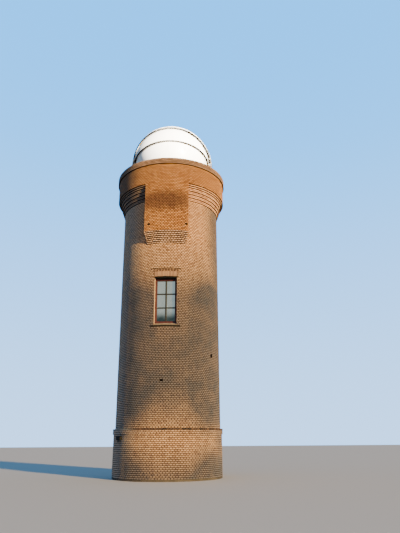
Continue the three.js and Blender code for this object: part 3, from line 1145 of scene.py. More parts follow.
@dataclass
class Tower:
    """The plinth, the string course and the shaft with its window surrounds.

    Attributes:
        finishes: The tower's finishes.
        bricks: The bricklaying.
        door_half: Half the door's width.
        lintel_rest: How far the door's lintel reaches into the wall at each end, with its joint.
        sill_half: Half the width of the pocket for a window's sill.
        arch_half: Half the width of the bricks on end over a window.
        hood_half: Half the width of the pocket for its hood.
        pocket_r: Radius of the pockets' backs.
        vent: Azimuth, first course, last course and half width of the vent slot.
        putlog: The same for the hole that the scaffold left.
    """

    finishes: Finishes
    bricks: Brickwork
    door_half: float = 0.45
    lintel_rest: float = 0.205
    sill_half: float = 0.652
    arch_half: float = 0.53
    hood_half: float = 0.682
    pocket_r: float = 2.33
    vent: tuple[float, int, int, float] = (np.radians(58.0), 67, 69, 0.066)
    putlog: tuple[float, int, int, float] = (np.radians(-3.0), 52, 53, 0.061)

    def door_gap(self, radius: float, extra: float = 0.0) -> tuple[float, float]:
        """Returns the azimuths that the rear door takes at a radius."""
        half = np.arcsin((self.door_half + extra) / radius)
        return np.pi - half, np.pi + half

    def shaft_gaps(self, course: int) -> Ranges:
        """Openings and projections that interrupt a course of the shaft.

        Args:
            course: Number of the course.

        Returns:
            Ranges of azimuth.
        """
        gaps = []
        if course < DOOR_LINTEL_TOP:
            gaps.append(self.door_gap(SHAFT_R, self.lintel_rest))
        for azimuth, first, last, half in (self.vent, self.putlog):
            if first <= course < last:
                gaps.append((azimuth - half / SHAFT_R, azimuth + half / SHAFT_R))
        if course == WINDOW_LOW - 1:
            gaps += on_both_sides(self.sill_half / SHAFT_R)
        elif WINDOW_LOW <= course < WINDOW_HIGH:
            gaps += on_both_sides(np.arcsin(WINDOW_HALF / SHAFT_R))
        elif WINDOW_HIGH <= course < HOOD_COURSE:
            gaps += on_both_sides(self.arch_half / SHAFT_R)
        elif course == HOOD_COURSE:
            gaps += on_both_sides(self.hood_half / SHAFT_R)
        elif course >= BAY_LOW:
            gaps += on_both_sides(BAY_HALF)
        return gaps

    def build(self) -> None:
        """Builds the plinth, string course and shaft."""
        cream = self.finishes.cream_brick
        bricks = self.bricks
        plinth = bricks.courses(PLINTH_R, 1, PLINTH_TOP, lambda course: [self.door_gap(PLINTH_R)])
        placed("plinth_bricks", plinth, cream)
        self.string_course()
        for name, first, last in (
            ("shaft_bricks_low", STRING_TOP, WINDOW_LOW),
            ("shaft_bricks_window_storey", WINDOW_LOW, WINDOW_HIGH),
            ("shaft_bricks_high", WINDOW_HIGH, CORNICE_LOW),
        ):
            placed(name, bricks.courses(SHAFT_R, first, last, self.shaft_gaps), cream)
        for side in Side:
            self.surround(side)

    def string_course(self) -> None:
        """Builds the string course: two pale courses with wide joints under one of overburnt headers."""
        low, high = PLINTH_TOP * COURSE, STRING_TOP * COURSE
        start, end = self.door_gap(STRING_R, 0.003)
        ring = [
            (2.32, low + 0.001), (STRING_R - 0.016, low + 0.001), (STRING_R - 0.016, high - 0.014),
            (2.32, high - 0.010),
        ]
        core = round_sweep(ring, end - FULL_TURN, start)
        nodes = ("string_course_right", "string_course_left")
        placed("string_course_mortar", core, self.finishes.painted_shade_mortar, nodes=nodes)
        face, back = STRING_R - self.bricks.proud - 0.002, STRING_R - 0.12
        stretches = round_stretches([self.door_gap(STRING_R)])
        courses = range(PLINTH_TOP, STRING_TOP)
        pale = [self.bricks.course(face, course, stretches, back, bed=0.020) for course in courses[:-1]]
        placed("string_course_bricks", joined(pale), self.finishes.cream_brick)
        options = {"joint": 0.018, "bed": 0.010, "shade": 0.1, "foot": 0.2}
        burnt = self.bricks.course(face, courses[-1], stretches, back, **options)
        placed("string_course_top_bricks", burnt, self.finishes.burnt_brick)

    def surround(self, side: Side) -> None:
        """Builds the flat arch, hood, sill and rendered reveals of one window, and a black plate under its
        head that paints the head's shade.

        Args:
            side: Front or rear.
        """
        name = side.name.lower()
        placed(f"{name}_window_arch", self.soldiers(side), self.finishes.cream_brick)
        self.hood(side)
        self.sill(side)
        jambs, soffit = self.reveals()
        placed(f"{name}_window_reveals", jambs.turned(side.value), self.finishes.render)
        # A black plate under the head and up its face: painted shade for the head's soffit.
        placed(f"{name}_window_lintel", soffit.turned(side.value), self.finishes.black)

    def soldiers(self, side: Side) -> Form:
        """Bricks on end over the window, pale and tightly laid.

        Args:
            side: Front or rear.

        Returns:
            The row of bricks.
        """
        count = 14
        low = WINDOW_HIGH * COURSE + 0.058
        high = (HOOD_COURSE - 1) * COURSE - 0.005
        tone = self.bricks.rng.uniform(0.45, 0.75, count)
        azimuth = spread(count, COURSE, side.value)
        return blocks(azimuth, 0.0345, low, high, SHAFT_R - 0.03, SHAFT_R + 0.007, tone)

    def hood(self, side: Side) -> None:
        """Builds the hood: headers set apart, a row that stands out over them, and dark tiles on top.

        Args:
            side: Front or rear.
        """
        name = side.name.lower()
        foot = HOOD_COURSE * COURSE
        lid = [
            (self.pocket_r, foot + 0.030), (2.388, foot + 0.030), (2.391, foot + 0.034),
            (2.391, foot + 0.062), (2.386, foot + 0.0745), (self.pocket_r, foot + 0.0745),
        ]
        tiles = front_sweep(lid, 0.679).turned(side.value)
        nodes = (f"{name}_window_hood",)
        placed(f"{name}_window_hood_tiles", tiles, self.finishes.near_black_brick, nodes=nodes)
        back, low, high = self.pocket_r, foot - 0.073, foot + 0.031
        bed = [(back, low), (2.353, low), (2.353, high), (back, high)]
        core = front_sweep(bed, 0.6).turned(side.value)
        # Near-black bed behind the headers set apart: painted shade in the gaps between them.
        placed(f"{name}_window_hood_bed", core, self.finishes.painted_shade_mortar)
        rows = []
        for count, half, low, high, face, shade in (
            (8, 0.048, foot - 0.066, foot - 0.024, 2.366, 0.45),
            (10, 0.052, foot - 0.006, foot + 0.028, 2.384, 0.35),
        ):
            azimuth = spread(count, 0.134, side.value)
            tone = self.bricks.rng.uniform(0.0, 0.3, count) + shade
            rows.append(blocks(azimuth, half, low, high, self.pocket_r, face, tone, foot=1.0))
        placed(f"{name}_window_hood_bricks", joined(rows), self.finishes.cream_brick)

    def sill(self, side: Side) -> None:
        """Builds the sill: a rendered slope between the jambs, behind a nose of near-black bricks on edge.

        The slope is level under the frame and falls from radius 2.14 by 120 mm to the nose at 2.40.

        Args:
            side: Front or rear.
        """
        name = side.name.lower()
        foot = WINDOW_LOW * COURSE
        level, flat, edge = foot + 0.1195, 2.14, 2.376
        front = level - 0.12 * (edge - flat) / (2.40 - flat)
        slope = [
            (1.952, foot + 0.001), (2.349, foot + 0.001), (edge, front - 0.014), (edge, front),
            (flat, level), (1.952, level),
        ]
        stone = front_sweep(slope, 0.493).turned(side.value)
        nodes = (f"{name}_window_sill",)
        placed(f"{name}_window_sill_slope", stone, self.finishes.worn_render, nodes=nodes)
        count = 17
        azimuth = spread(count, 0.0762, side.value)
        tone = self.bricks.rng.uniform(0.1, 0.7, count)
        low, high = foot - 0.0745, foot - 0.001
        nose = blocks(azimuth, 0.0345, low, high, self.pocket_r, 2.3985, tone, chamfer=0.007)
        placed(f"{name}_window_sill_nose", nose, self.finishes.near_black_brick)

    def reveals(self) -> tuple[Form, Form]:
        """Rendered linings of the window's jambs, and a black plate under its head that paints the soffit's
        shade.

        Returns:
            The two linings and the head plate, of the front window.
        """
        low = WINDOW_LOW * COURSE + 0.001
        high = WINDOW_HIGH * COURSE
        edge, thick = WINDOW_HALF - 0.0004, 0.006
        jamb = [(0.0, -2.0805), (thick, -2.0805), (thick, -2.292), (0.0, -2.296)]
        left = bar((-edge, low), (-edge, high - 0.001), [(-inset, depth) for inset, depth in jamb])
        right = bar((edge, low), (edge, high - 0.001), jamb)
        plate = [
            (1.985, high - 0.0005), (SHAFT_R + 0.004, high - 0.0005), (SHAFT_R + 0.004, high + 0.052),
            (SHAFT_R - 0.012, high + 0.054), (SHAFT_R - 0.012, high - 0.0002), (1.985, high - 0.0002),
        ]
        return joined([left, right]), front_sweep(plate, edge - 0.001)


@dataclass
class Crown:
    """The tower's head: bays, cornice, drum, parapet and coping.

    Attributes:
        finishes: The tower's finishes.
        bricks: The bricklaying.
        core_inset: How far the mortar lies behind the bricks of a corbel.
        drains: Azimuths of the outlets in each bay.
        drain_course: The course they come out in.
    """

    finishes: Finishes
    bricks: Brickwork
    core_inset: float = 0.012
    drains: tuple[float, ...] = (np.radians(-17.5), np.radians(20.0))
    drain_course: int = 146

    def steps(self, first: int, courses: tuple[int, ...]) -> Steps:
        """Corbel steps, each a little wider than the one below.

        Args:
            first: Number of the lowest course.
            courses: How many courses each step has.

        Returns:
            First course, course after the last, and radius of each step.
        """
        lows = first + np.concatenate([[0], np.cumsum(courses)])
        radii = SHAFT_R + CORBEL_STEP * (np.arange(len(courses)) + 1)
        return list(zip(lows[:-1].tolist(), lows[1:].tolist(), radii.tolist()))

    def core(self, steps: Steps, start: float, end: float) -> Form:
        """Mortar body behind corbelled bricks.

        Args:
            steps: The corbel steps.
            start: First azimuth.
            end: Last azimuth.

        Returns:
            A closed stretch with a stepped underside.
        """
        back = SHAFT_R + 0.0006
        top = DRUM_LOW * COURSE
        outline = [(back, top), (back, steps[0][0] * COURSE + self.core_inset)]
        for low, high, radius in steps:
            outline.append((radius - self.core_inset, low * COURSE + self.core_inset))
            outline.append((radius - self.core_inset, min(high * COURSE + self.core_inset, top)))
        return round_sweep(outline, start, end, 0.03)

    def corbels(self, steps: Steps, start: float, end: float, joint: float, bed: float) -> Form:
        """Bricks of a corbelled stretch, each reaching back over the step below.

        Args:
            steps: The corbel steps.
            start: First azimuth.
            end: Last azimuth.
            joint: Width of the upright joints.
            bed: Height of the level joints.

        Returns:
            The bricks.
        """
        rows = []
        for low, high, radius in steps:
            for course in range(low, high):
                face = radius - self.bricks.proud
                rows.append(self.bricks.course(face, course, [(start, end)], radius - 0.11, joint, bed))
        return joined(rows)

    def build(self) -> None:
        """Builds the whole head."""
        for side in Side:
            self.bay(side)
        self.cornice()
        self.drum()
        self.parapet()
        self.coping()

    def bay(self, side: Side) -> None:
        """Builds one bay: corbels, a tall curved face, bricks round its corners, and the drain outlets.

        Args:
            side: Front or rear.
        """
        name = side.name.lower()
        steps = self.steps(BAY_LOW, CORBEL_COURSES)
        turn = side.value
        edge = BAY_HALF - 0.003
        tall = steps[:-1] + [(steps[-1][0], DRUM_LOW, steps[-1][2])]
        core = self.core(tall, turn - edge, turn + edge)
        placed(f"{name}_bay_mortar", core, self.finishes.painted_shade_mortar, nodes=(f"{name}_bay",))
        corbels = self.corbels(steps, turn - BAY_HALF, turn + BAY_HALF, 0.026, 0.026)
        placed(f"{name}_bay_corbels", corbels, self.finishes.blushed_brick)
        rows = []
        for course in range(BAY_LOW + len(CORBEL_COURSES), DRUM_LOW):
            edges = [turn - BAY_HALF, turn + BAY_HALF]
            if course == self.drain_course:
                half = 0.058 / DRUM_R
                edges[1:1] = [turn + drain + side_of for drain in self.drains for side_of in (-half, half)]
            stretches = list(zip(edges[::2], edges[1::2]))
            rows.append(self.bricks.course(DRUM_R - 0.004, course, stretches, joint=0.024))
        rows.append(self.returns(turn))
        placed(f"{name}_bay_bricks", joined(rows), self.finishes.ochre_brick)
        pipes = joined([self.outlet(turn + drain) for drain in self.drains])
        placed(f"{name}_bay_outlets", pipes, self.finishes.rubber, sharp=40.0)

    def returns(self, turn: float) -> Form:
        """Bricks on the bay's two side faces, two in each course.

        Args:
            turn: The side's turn from the front.

        Returns:
            The bricks.
        """
        courses = np.arange(BAY_LOW, DRUM_LOW)
        step = np.minimum(courses - BAY_LOW + 1, len(CORBEL_COURSES))
        radius = SHAFT_R + CORBEL_STEP * step - 0.034
        near = SHAFT_R + np.where(courses % 2 == 0, 0.13, 0.21)
        near = np.minimum(near, radius - 0.05)
        made = []
        for sign in (-1, 1):
            for back, face in ((np.full(len(courses), SHAFT_R + 0.004), near), (near + 0.01, radius)):
                middle = turn + sign * (BAY_HALF - 0.034 / ((back + face) / 2))
                keep = face - back > 0.03
                tone = self.bricks.fired(len(courses))
                low = courses * COURSE + 0.005
                parts = (middle, np.full(len(courses), 0.036), low, low + 0.065, back, face, tone)
                made.append(blocks(*(part[keep] for part in parts)))
        return joined(made)

    def outlet(self, azimuth: float) -> Form:
        """A short black pipe with a rounded lip, its mouth in the bay's face.

        A ring of radius p about the pipe's axis, at distance r from the tower's axis, goes to
        r n + p cos b s at height z + p sin b.

        Args:
            azimuth: Where it is.

        Returns:
            The pipe.
        """
        ring = np.arange(20) * FULL_TURN / 20
        reach = np.array([2.60, 2.60, 2.714, 2.719, 2.719, 2.714, 2.7005, 2.7005])
        pipe = np.array([0.0004, 0.0355, 0.0355, 0.0335, 0.0315, 0.030, 0.030, 0.0004])
        across = np.cos(ring)[:, None] * pipe
        height = (self.drain_course + 0.5) * COURSE + np.sin(ring)[:, None] * pipe
        sin, cos = np.sin(azimuth), np.cos(azimuth)
        return woven(stacked(reach * sin + across * cos, -reach * cos + across * sin, height), True)

    def cornice(self) -> None:
        """Builds the stepped cornice on both sides of the bays."""
        steps = self.steps(CORNICE_LOW, CORNICE_COURSES)
        edge = BAY_HALF + 0.0012
        mortar, rows = [], []
        for start, end in ((edge, np.pi - edge), (np.pi + edge, FULL_TURN - edge)):
            mortar.append(self.core(steps, start, end))
            rows.append(self.corbels(steps, start, end, 0.007, 0.028))
        nodes = tuple(f"cornice_{part}" for part in ("front_right", "rear_right", "rear_left", "front_left"))
        placed("cornice_mortar", joined(mortar), self.finishes.painted_shade_mortar, nodes=nodes)
        placed("cornice_bricks", joined(rows), self.finishes.rose_brick)

    def drum(self) -> None:
        """Builds the outer face of the parapet."""
        rows = self.bricks.courses(DRUM_R - 0.004, DRUM_LOW, COPING_LOW, joint=0.024)
        placed("drum_bricks", rows, self.finishes.ochre_brick)

    def parapet(self) -> None:
        """Builds the parapet's inner face above the gallery floor."""
        rows = self.bricks.courses(GALLERY_R - 0.001, GALLERY_LOW, COPING_LOW, back=GALLERY_R + 0.02)
        placed("parapet_inner_bricks", rows, self.finishes.ochre_brick)

    def coping(self) -> None:
        """Builds the coping band: three courses and a top row of bricks on edge."""
        inner, outer = COPING_INNER_R + 0.012, COPING_R - 0.014
        low, high = COPING_LOW * COURSE + 0.001, COPING_TOP * COURSE - 0.016
        ring = round_sweep([(inner, low), (outer, low), (outer, high), (inner, high)])
        nodes = ("coping_right", "coping_left")
        placed("coping_mortar", ring, self.finishes.ochre_mortar, nodes=nodes)
        face, inside = COPING_R - 0.011, COPING_INNER_R + 0.011
        top = COPING_TOP - 1
        rows = [self.bricks.courses(face, COPING_LOW, top, back=COPING_R - 0.06)]
        rows.append(self.bricks.courses(inside, COPING_LOW, top, back=COPING_INNER_R + 0.06))
        rows.append(self.bricks.course(face, top, back=2.582, bed=0.008, foot=0.0))
        rows.append(self.bricks.course(inside, top, back=2.572, bed=0.008, foot=0.0))
        made = joined(rows)
        made.points[:, 2] = np.minimum(made.points[:, 2], COPING_TOP * COURSE)
        placed("coping_bricks", made, self.finishes.washed_brick)


@dataclass
class WindowJoinery:
    """A window of two by three panes in a recess: frame, bars, beads and glass.

    Attributes:
        finishes: The tower's finishes.
        side: Front or rear.
        front: Depth of the frame's face, as y.
        back: Depth of its back.
        member: Width of the outer frame.
        mullion: Width of the upright bar.
        transom: Height of the cross bars.
        bead: Width of the glazing beads.
        stile: Width of the sash inside the frame.
        half: Half the frame's width.
        low: Its foot.
        high: Its head.
    """

    finishes: Finishes
    side: Side
    front: float = -2.080
    back: float = -2.0005
    member: float = 0.065
    mullion: float = 0.060
    transom: float = 0.046
    bead: float = 0.008
    stile: float = 0.032
    half: float = WINDOW_HALF - 0.0006
    low: float = WINDOW_LOW * COURSE + 0.1206
    high: float = WINDOW_HIGH * COURSE - 0.0006

    def openings(self) -> list[tuple[float, float, float, float, int]]:
        """Divides the sash between the bars.

        Returns:
            Left, low, right and high of each pane, and its row from the foot.
        """
        border = self.member + self.stile
        inner_left, inner_right = -self.half + border, self.half - border
        foot, head = self.low + border, self.high - border
        height = (head - foot - 2 * self.transom) / 3
        panes = []
        for left, right in ((inner_left, -self.mullion / 2), (self.mullion / 2, inner_right)):
            for row in range(3):
                base = foot + row * (height + self.transom)
                panes.append((left, base, right, base + height, row))
        return panes

    def build(self) -> None:
        """Builds the window."""
        name = self.side.name.lower()
        rim = (-self.half, self.low, self.half, self.high)
        red, green = self.finishes.red_paint, self.finishes.green_paint
        for piece, form, finish, slot, node in (
            ("frame", framed(*rim, self.frame_section()), red, "red_timber", "frame"),
            ("bars", joined(self.bars()), green, "green_timber", "bars"),
            ("beads", joined(self.beads()), green, "green_timber", None),
            ("sash", framed(*rim, self.sash_section()), red, "red_timber", None),
            ("panes", joined(self.panes()), self.finishes.glass, "window_glass", "glass"),
        ):
            nodes = (f"{name}_window_{node}",) if node else ()
            placed(f"{name}_{piece}", form.turned(self.side.value), finish, nodes=nodes)

    def frame_section(self) -> Outline:
        """Draws the moulded section of the frame.

        Returns:
            Its outline.
        """
        face, back, member = self.front, self.back, self.member
        return [
            (0.0, back), (0.0, face + 0.004), (0.004, face), (member - 0.022, face),
            (member - 0.018, face + 0.006), (member - 0.006, face + 0.008),
            (member - 0.001, face + 0.014), (member - 0.001, back),
        ]

    def sash_section(self) -> Outline:
        """Draws the section of the sash inside the frame, with its inner edge chamfered.

        Returns:
            Its outline.
        """
        outer, inner = self.member - 0.002, self.member + self.stile
        back, face = self.front + 0.041, self.front + 0.010
        return [(outer, back), (outer, face), (inner - 0.010, face), (inner, face + 0.010), (inner, back)]

    def bars(self) -> list[Form]:
        """Runs the mullion and the transoms between the panes.

        Returns:
            The bars.
        """
        face = self.front + 0.012
        mullion, transom = (
            chamfered(width / 2, 0.01, face, self.back) for width in (self.mullion, self.transom)
        )
        foot, head = self.low + self.member - 0.001, self.high - self.member + 0.001
        made = [bar((0.0, foot), (0.0, head), mullion)]
        edge = self.half - self.member + 0.001
        for left, _, _, high, row in self.openings():
            if row < 2:
                middle = high + self.transom / 2
                start, end = (-edge, -self.mullion / 2) if left < 0 else (self.mullion / 2, edge)
                made.append(bar((start, middle), (end, middle), transom))
        return made

    def beads(self) -> list[Form]:
        """Mitres a glazing bead round each pane.

        Returns:
            The beads.
        """
        face, back, wide = self.front + 0.026, self.front + 0.042, self.bead
        section = [(0.0, back), (0.0, face), (0.003, face), (wide, face + 0.008), (wide, back)]
        return [framed(left, low, right, high, section) for left, low, right, high, _ in self.openings()]

    def panes(self) -> list[Form]:
        """Cuts the panes, which the beads hold.

        Returns:
            The panes.
        """
        face, edge = self.front + 0.042, 0.004
        depth = np.array([face, face + 0.004])[:, None]
        made = []
        for left, low, right, high, _ in self.openings():
            first, last = left - edge + 0.001, right + edge - 0.001
            across = np.array([first, last, last, first])
            height = np.array([low - edge, low - edge, high + edge, high + edge])
            made.append(woven(stacked(across, depth, height), False))
        return made


@dataclass
class Door:
    """The plain fixed door at the rear: frame, boarded leaf, straps and handle.

    Attributes:
        finishes: The tower's finishes.
        face: Depth of the frame's face, as y of a door that is turned to the front.
        half: Half the opening's width.
        low: Foot of the door.
        high: Head of the door.
        member: Width of the frame.
        boards: How many boards the leaf has.
    """

    finishes: Finishes
    face: float = -2.115
    half: float = 0.4495
    low: float = 0.0755
    high: float = 2.0245
    member: float = 0.070
    boards: int = 7

    def build(self) -> None:
        """Builds the door and turns it to the rear."""
        back = self.face + 0.090
        section = [(-0.035, back), (-0.035, self.face + 0.003), (-0.032, self.face), (0.031, self.face)]
        section += [(0.035, self.face + 0.006), (0.035, back)]
        edge = self.half - 0.035
        turned_section = [(-beside, depth) for beside, depth in section]
        posts = [
            bar((-edge, self.low), (-edge, self.high), turned_section),
            bar((edge, self.low), (edge, self.high), section),
            bar((-edge + 0.0351, self.high - 0.035), (edge - 0.0351, self.high - 0.035), section),
        ]
        frame = joined(posts).turned(np.pi)
        leaf, iron = self.leaf().turned(np.pi), self.ironwork().turned(np.pi)
        placed("door_posts", frame, self.finishes.red_paint, nodes=("door_frame",))
        placed("door_boards", leaf, self.finishes.red_paint, nodes=("door_leaf",))
        placed("door_ironwork", iron, self.finishes.black, sharp=35.0)

    def leaf(self) -> Form:
        """Puts boards side by side, their edges chamfered so that each joint shows as a groove.

        Returns:
            The boards.
        """
        clear = self.half - self.member - 0.002
        width = 2 * clear / self.boards
        section = chamfered(width / 2 - 0.0006, 0.007, self.face + 0.021, self.face + 0.069)
        middles = -clear + width * (np.arange(self.boards) + 0.5)
        high = self.high - self.member - 0.002
        return joined([bar((float(at), self.low + 0.001), (float(at), high), section) for at in middles])

    def ironwork(self) -> Form:
        """Shapes three strap hinges, a lock plate and a lever handle.

        Returns:
            The ironwork.
        """
        face = self.face + 0.021
        plate = chamfered(0.022, 0.003, face - 0.006, face + 0.001)
        clear = self.half - self.member - 0.01
        made = [bar((-clear, height), (0.16, height), plate) for height in (0.36, 1.05, 1.72)]
        made.append(bar((0.30, 0.98), (0.30, 1.20), plate))
        turn = np.arange(12) * FULL_TURN / 12
        lever = np.stack([0.008 * np.cos(turn), face - 0.014 + 0.007 * np.sin(turn)], axis=1)
        made.append(bar((0.306, 1.12), (0.19, 1.12), lever.tolist()))
        return joined(made)


@dataclass
class WallFitting:
    """The black metal box on the plinth, with a hood and three short legs.

    Attributes:
        finishes: The tower's finishes.
        azimuth: Where it is.
        half: Half its width.
        low: Its underside.
        high: Its top.
        back: Depth of its back, as y before it is turned.
        face: Depth of its face.
    """

    finishes: Finishes
    azimuth: float = np.radians(-51.75)
    half: float = 0.160
    low: float = 1.575
    high: float = 1.720
    back: float = -2.4136
    face: float = -2.5230

    def build(self) -> None:
        """Builds the fitting."""
        upright = [
            (self.back, self.low), (self.face + 0.012, self.low), (self.face + 0.003, self.low + 0.006),
            (self.face + 0.003, self.high - 0.030), (self.face, self.high - 0.026),
            (self.face, self.high - 0.018), (self.face + 0.008, self.high - 0.010),
            (self.back, self.high),
        ]
        depth, height = np.array(upright).T
        across = np.array([-self.half, -self.half + 0.004, self.half - 0.004, self.half])
        shrink = np.array([0.004, 0.0, 0.0, 0.004])[:, None]
        middle_y, middle_z = depth.mean(), height.mean()
        ys = depth + np.sign(middle_y - depth) * shrink
        zs = height + np.sign(middle_z - height) * shrink
        case = woven(stacked(across[:, None], ys, zs), False)
        ring = np.arange(12) * FULL_TURN / 12
        legs = []
        drop = np.array([0.100, 0.097, 0.075, 0.073, 0.020, 0.018, 0.0])[:, None]
        radius = np.array([0.009, 0.012, 0.012, 0.0095, 0.0095, 0.012, 0.012])[:, None]
        for at in (-0.120, 0.0, 0.120):
            across = at + radius * np.cos(ring)
            depth = (self.back + self.face) / 2 + radius * np.sin(ring)
            legs.append(woven(stacked(across, depth, self.low - drop), False))
        form = joined([case, *legs]).turned(self.azimuth)
        placed("fitting_case", form, self.finishes.black, nodes=("wall_fitting",), sharp=35.0)


class Lap(Enum):
    """How a shell's leading edge ends."""

    PLAIN = 0
    OUTWARD = 1
    INWARD = 2


@dataclass
class DomeShell:
    """One moving shell of the dome: a skin between two planes through the pivots, with flanges and two hubs.

    Attributes:
        finishes: The tower's finishes.
        body: The body it moves with.
        radius: Outer radius of the skin.
        span: Angles of its edges above the level, in degrees, from its own side.
        side: The side it folds down to.
        low_flange: Inner radius of the flange along its lower edge.
        lap: How its upper edge ends.
        lap_reach: Radius that the upper flange reaches.
        shade_strip: Inner radius, outer radius, edge angle and thickness of its black strip, painted shade in
            the gap at its edge, if it has one.
        skin: Thickness of the laminate.
        flange: Thickness of the flanges.
        hub: Radius of the plates round the pivots.
        bore: Radius of the holes for the pins.
    """

    finishes: Finishes
    body: str
    radius: float
    span: tuple[float, float]
    side: Side
    low_flange: float
    lap: Lap = Lap.PLAIN
    lap_reach: float = 0.0
    shade_strip: tuple[float, float, float, float] | None = None
    skin: float = 0.012
    flange: float = 0.008
    hub: float = 0.150
    bore: float = 0.0315

    def build(self) -> None:
        """Builds the shell."""
        node = f"{self.body}_shell"
        form = joined([self.panel(), *self.hubs()]).raised(PIVOT_Z)
        placed(f"{node}_panel", form, self.finishes.gelcoat, self.body, (node,), 32.0)
        # The black strip paints the shade in the gap at this shell's edge.
        if self.shade_strip:
            strip = self.gap_shade_strip(*self.shade_strip).raised(PIVOT_Z)
            placed(f"{node}_seal", strip, self.finishes.rubber, self.body, sharp=40.0)

    def gap_shade_strip(self, inner: float, outer: float, angle: float, thick: float) -> Form:
        """A black strip along an edge, painted shade in the gap there, an oblong carried round the dome from
        near one hub to the other.

        At angle t from the pivot axis and distance p from it, the strip takes the angle
        thick (0.3 + 0.7 |cos t|) / p, on from the edge's own angle, so that it is thickest near the hubs.

        Args:
            inner: Inner radius.
            outer: Outer radius.
            angle: Angle of the edge above the level, in degrees.
            thick: Thickness, with a minus where the strip lies below the edge.

        Returns:
            A closed form.
        """
        end = np.arcsin(0.46 / self.radius)
        along = np.linspace(end, np.pi - end, 100)[:, None]
        reach = np.array([inner, inner, inner + 0.003, outer - 0.003, outer, outer])
        part = np.array([0.0, 0.8, 1.0, 1.0, 0.8, 0.0])
        growing = 0.3 + 0.7 * np.abs(np.cos(along))
        turned = np.radians(angle) + thick * part * growing / (self.radius * np.sin(along))
        return woven(self.placed_round_axis(reach, along, turned), False)

    def placed_round_axis(self, radius: np.ndarray, along: np.ndarray, angle: np.ndarray) -> np.ndarray:
        """Places points round the pivot axis.

        A point at distance r from the dome's centre, t from the axis's end and f above the level goes to
        (r cos t, -r sin t cos f, r sin t sin f), and is turned to the shell's own side.

        Args:
            radius: Distances r.
            along: Angles t.
            angle: Angles f.

        Returns:
            Coordinates in a last dimension.
        """
        across = radius * np.sin(along)
        points = stacked(radius * np.cos(along), -across * np.cos(angle), across * np.sin(angle))
        return points * np.array([-1.0, -1.0, 1.0]) if self.side is Side.REAR else points

    def panel(self) -> Form:
        """The skin with its flanges, as one closed outline carried from pivot to pivot.

        The outline at distance p from the pivot axis runs along the outer arc, round the upper edge, back
        along the inner arc and round the lower flange. A flange w thick takes the angle w / p. Both flanges
        taper away between 450 and 330 mm from the axis.

        Returns:
            A closed form.
        """
        steps = 110
        end = np.arcsin(0.075 / self.radius)
        along = np.linspace(end, np.pi - end, steps)
        distance = self.radius * np.sin(along)
        taper = np.clip((distance - 0.330) / 0.120, 0.0, 1.0)
        taper = taper * taper * (3 - 2 * taper)
        thick = self.flange / np.maximum(distance, 0.30)
        low, high = np.radians(self.span)
        inner = self.radius - self.skin
        ones = np.ones(steps)
        arcs = 30
        outer_end = high - thick if self.lap is Lap.OUTWARD else high * ones
        inner_end = high - thick if self.lap is Lap.INWARD else high * ones
        columns = [(self.radius * ones, low + (outer_end - low) * part) for part in np.linspace(0, 1, arcs)]
        if self.lap is Lap.OUTWARD:
            reach = self.radius + 0.0006 + (self.lap_reach - self.radius) * taper
            columns += [(reach, high - thick), (reach, high * ones)]
        if self.lap is Lap.INWARD:
            reach = inner - 0.0006 + (self.lap_reach - inner) * taper
            columns += [(reach, high * ones), (reach, high - thick)]
        inner_start = low + thick
        under = inner_start - inner_end
        columns += [(inner * ones, inner_end + under * part) for part in np.linspace(0, 1, arcs)]
        reach = inner - 0.0006 + (self.low_flange - inner) * taper
        columns += [(reach, low + thick), (reach, low * ones)]
        radius = np.stack([column[0] for column in columns], axis=1)
        angle = np.stack([column[1] for column in columns], axis=1)
        return woven(self.placed_round_axis(radius, along[:, None], angle), False)

    def hubs(self) -> list[Form]:
        """Turns the two round plates that the pins go through.

        Returns:
            The plates, right and left.
        """
        outer, inner = self.radius + 0.002, self.radius - self.skin - 0.002
        reach = np.linspace(self.bore, self.hub, 7)
        top = [(float(np.sqrt(outer**2 - p**2)), float(p)) for p in reach]
        under = [(float(np.sqrt(inner**2 - p**2)), float(p)) for p in reach[::-1]]
        plate = lathe_turned(top + under, 48)
        return [plate, plate.mirrored()]


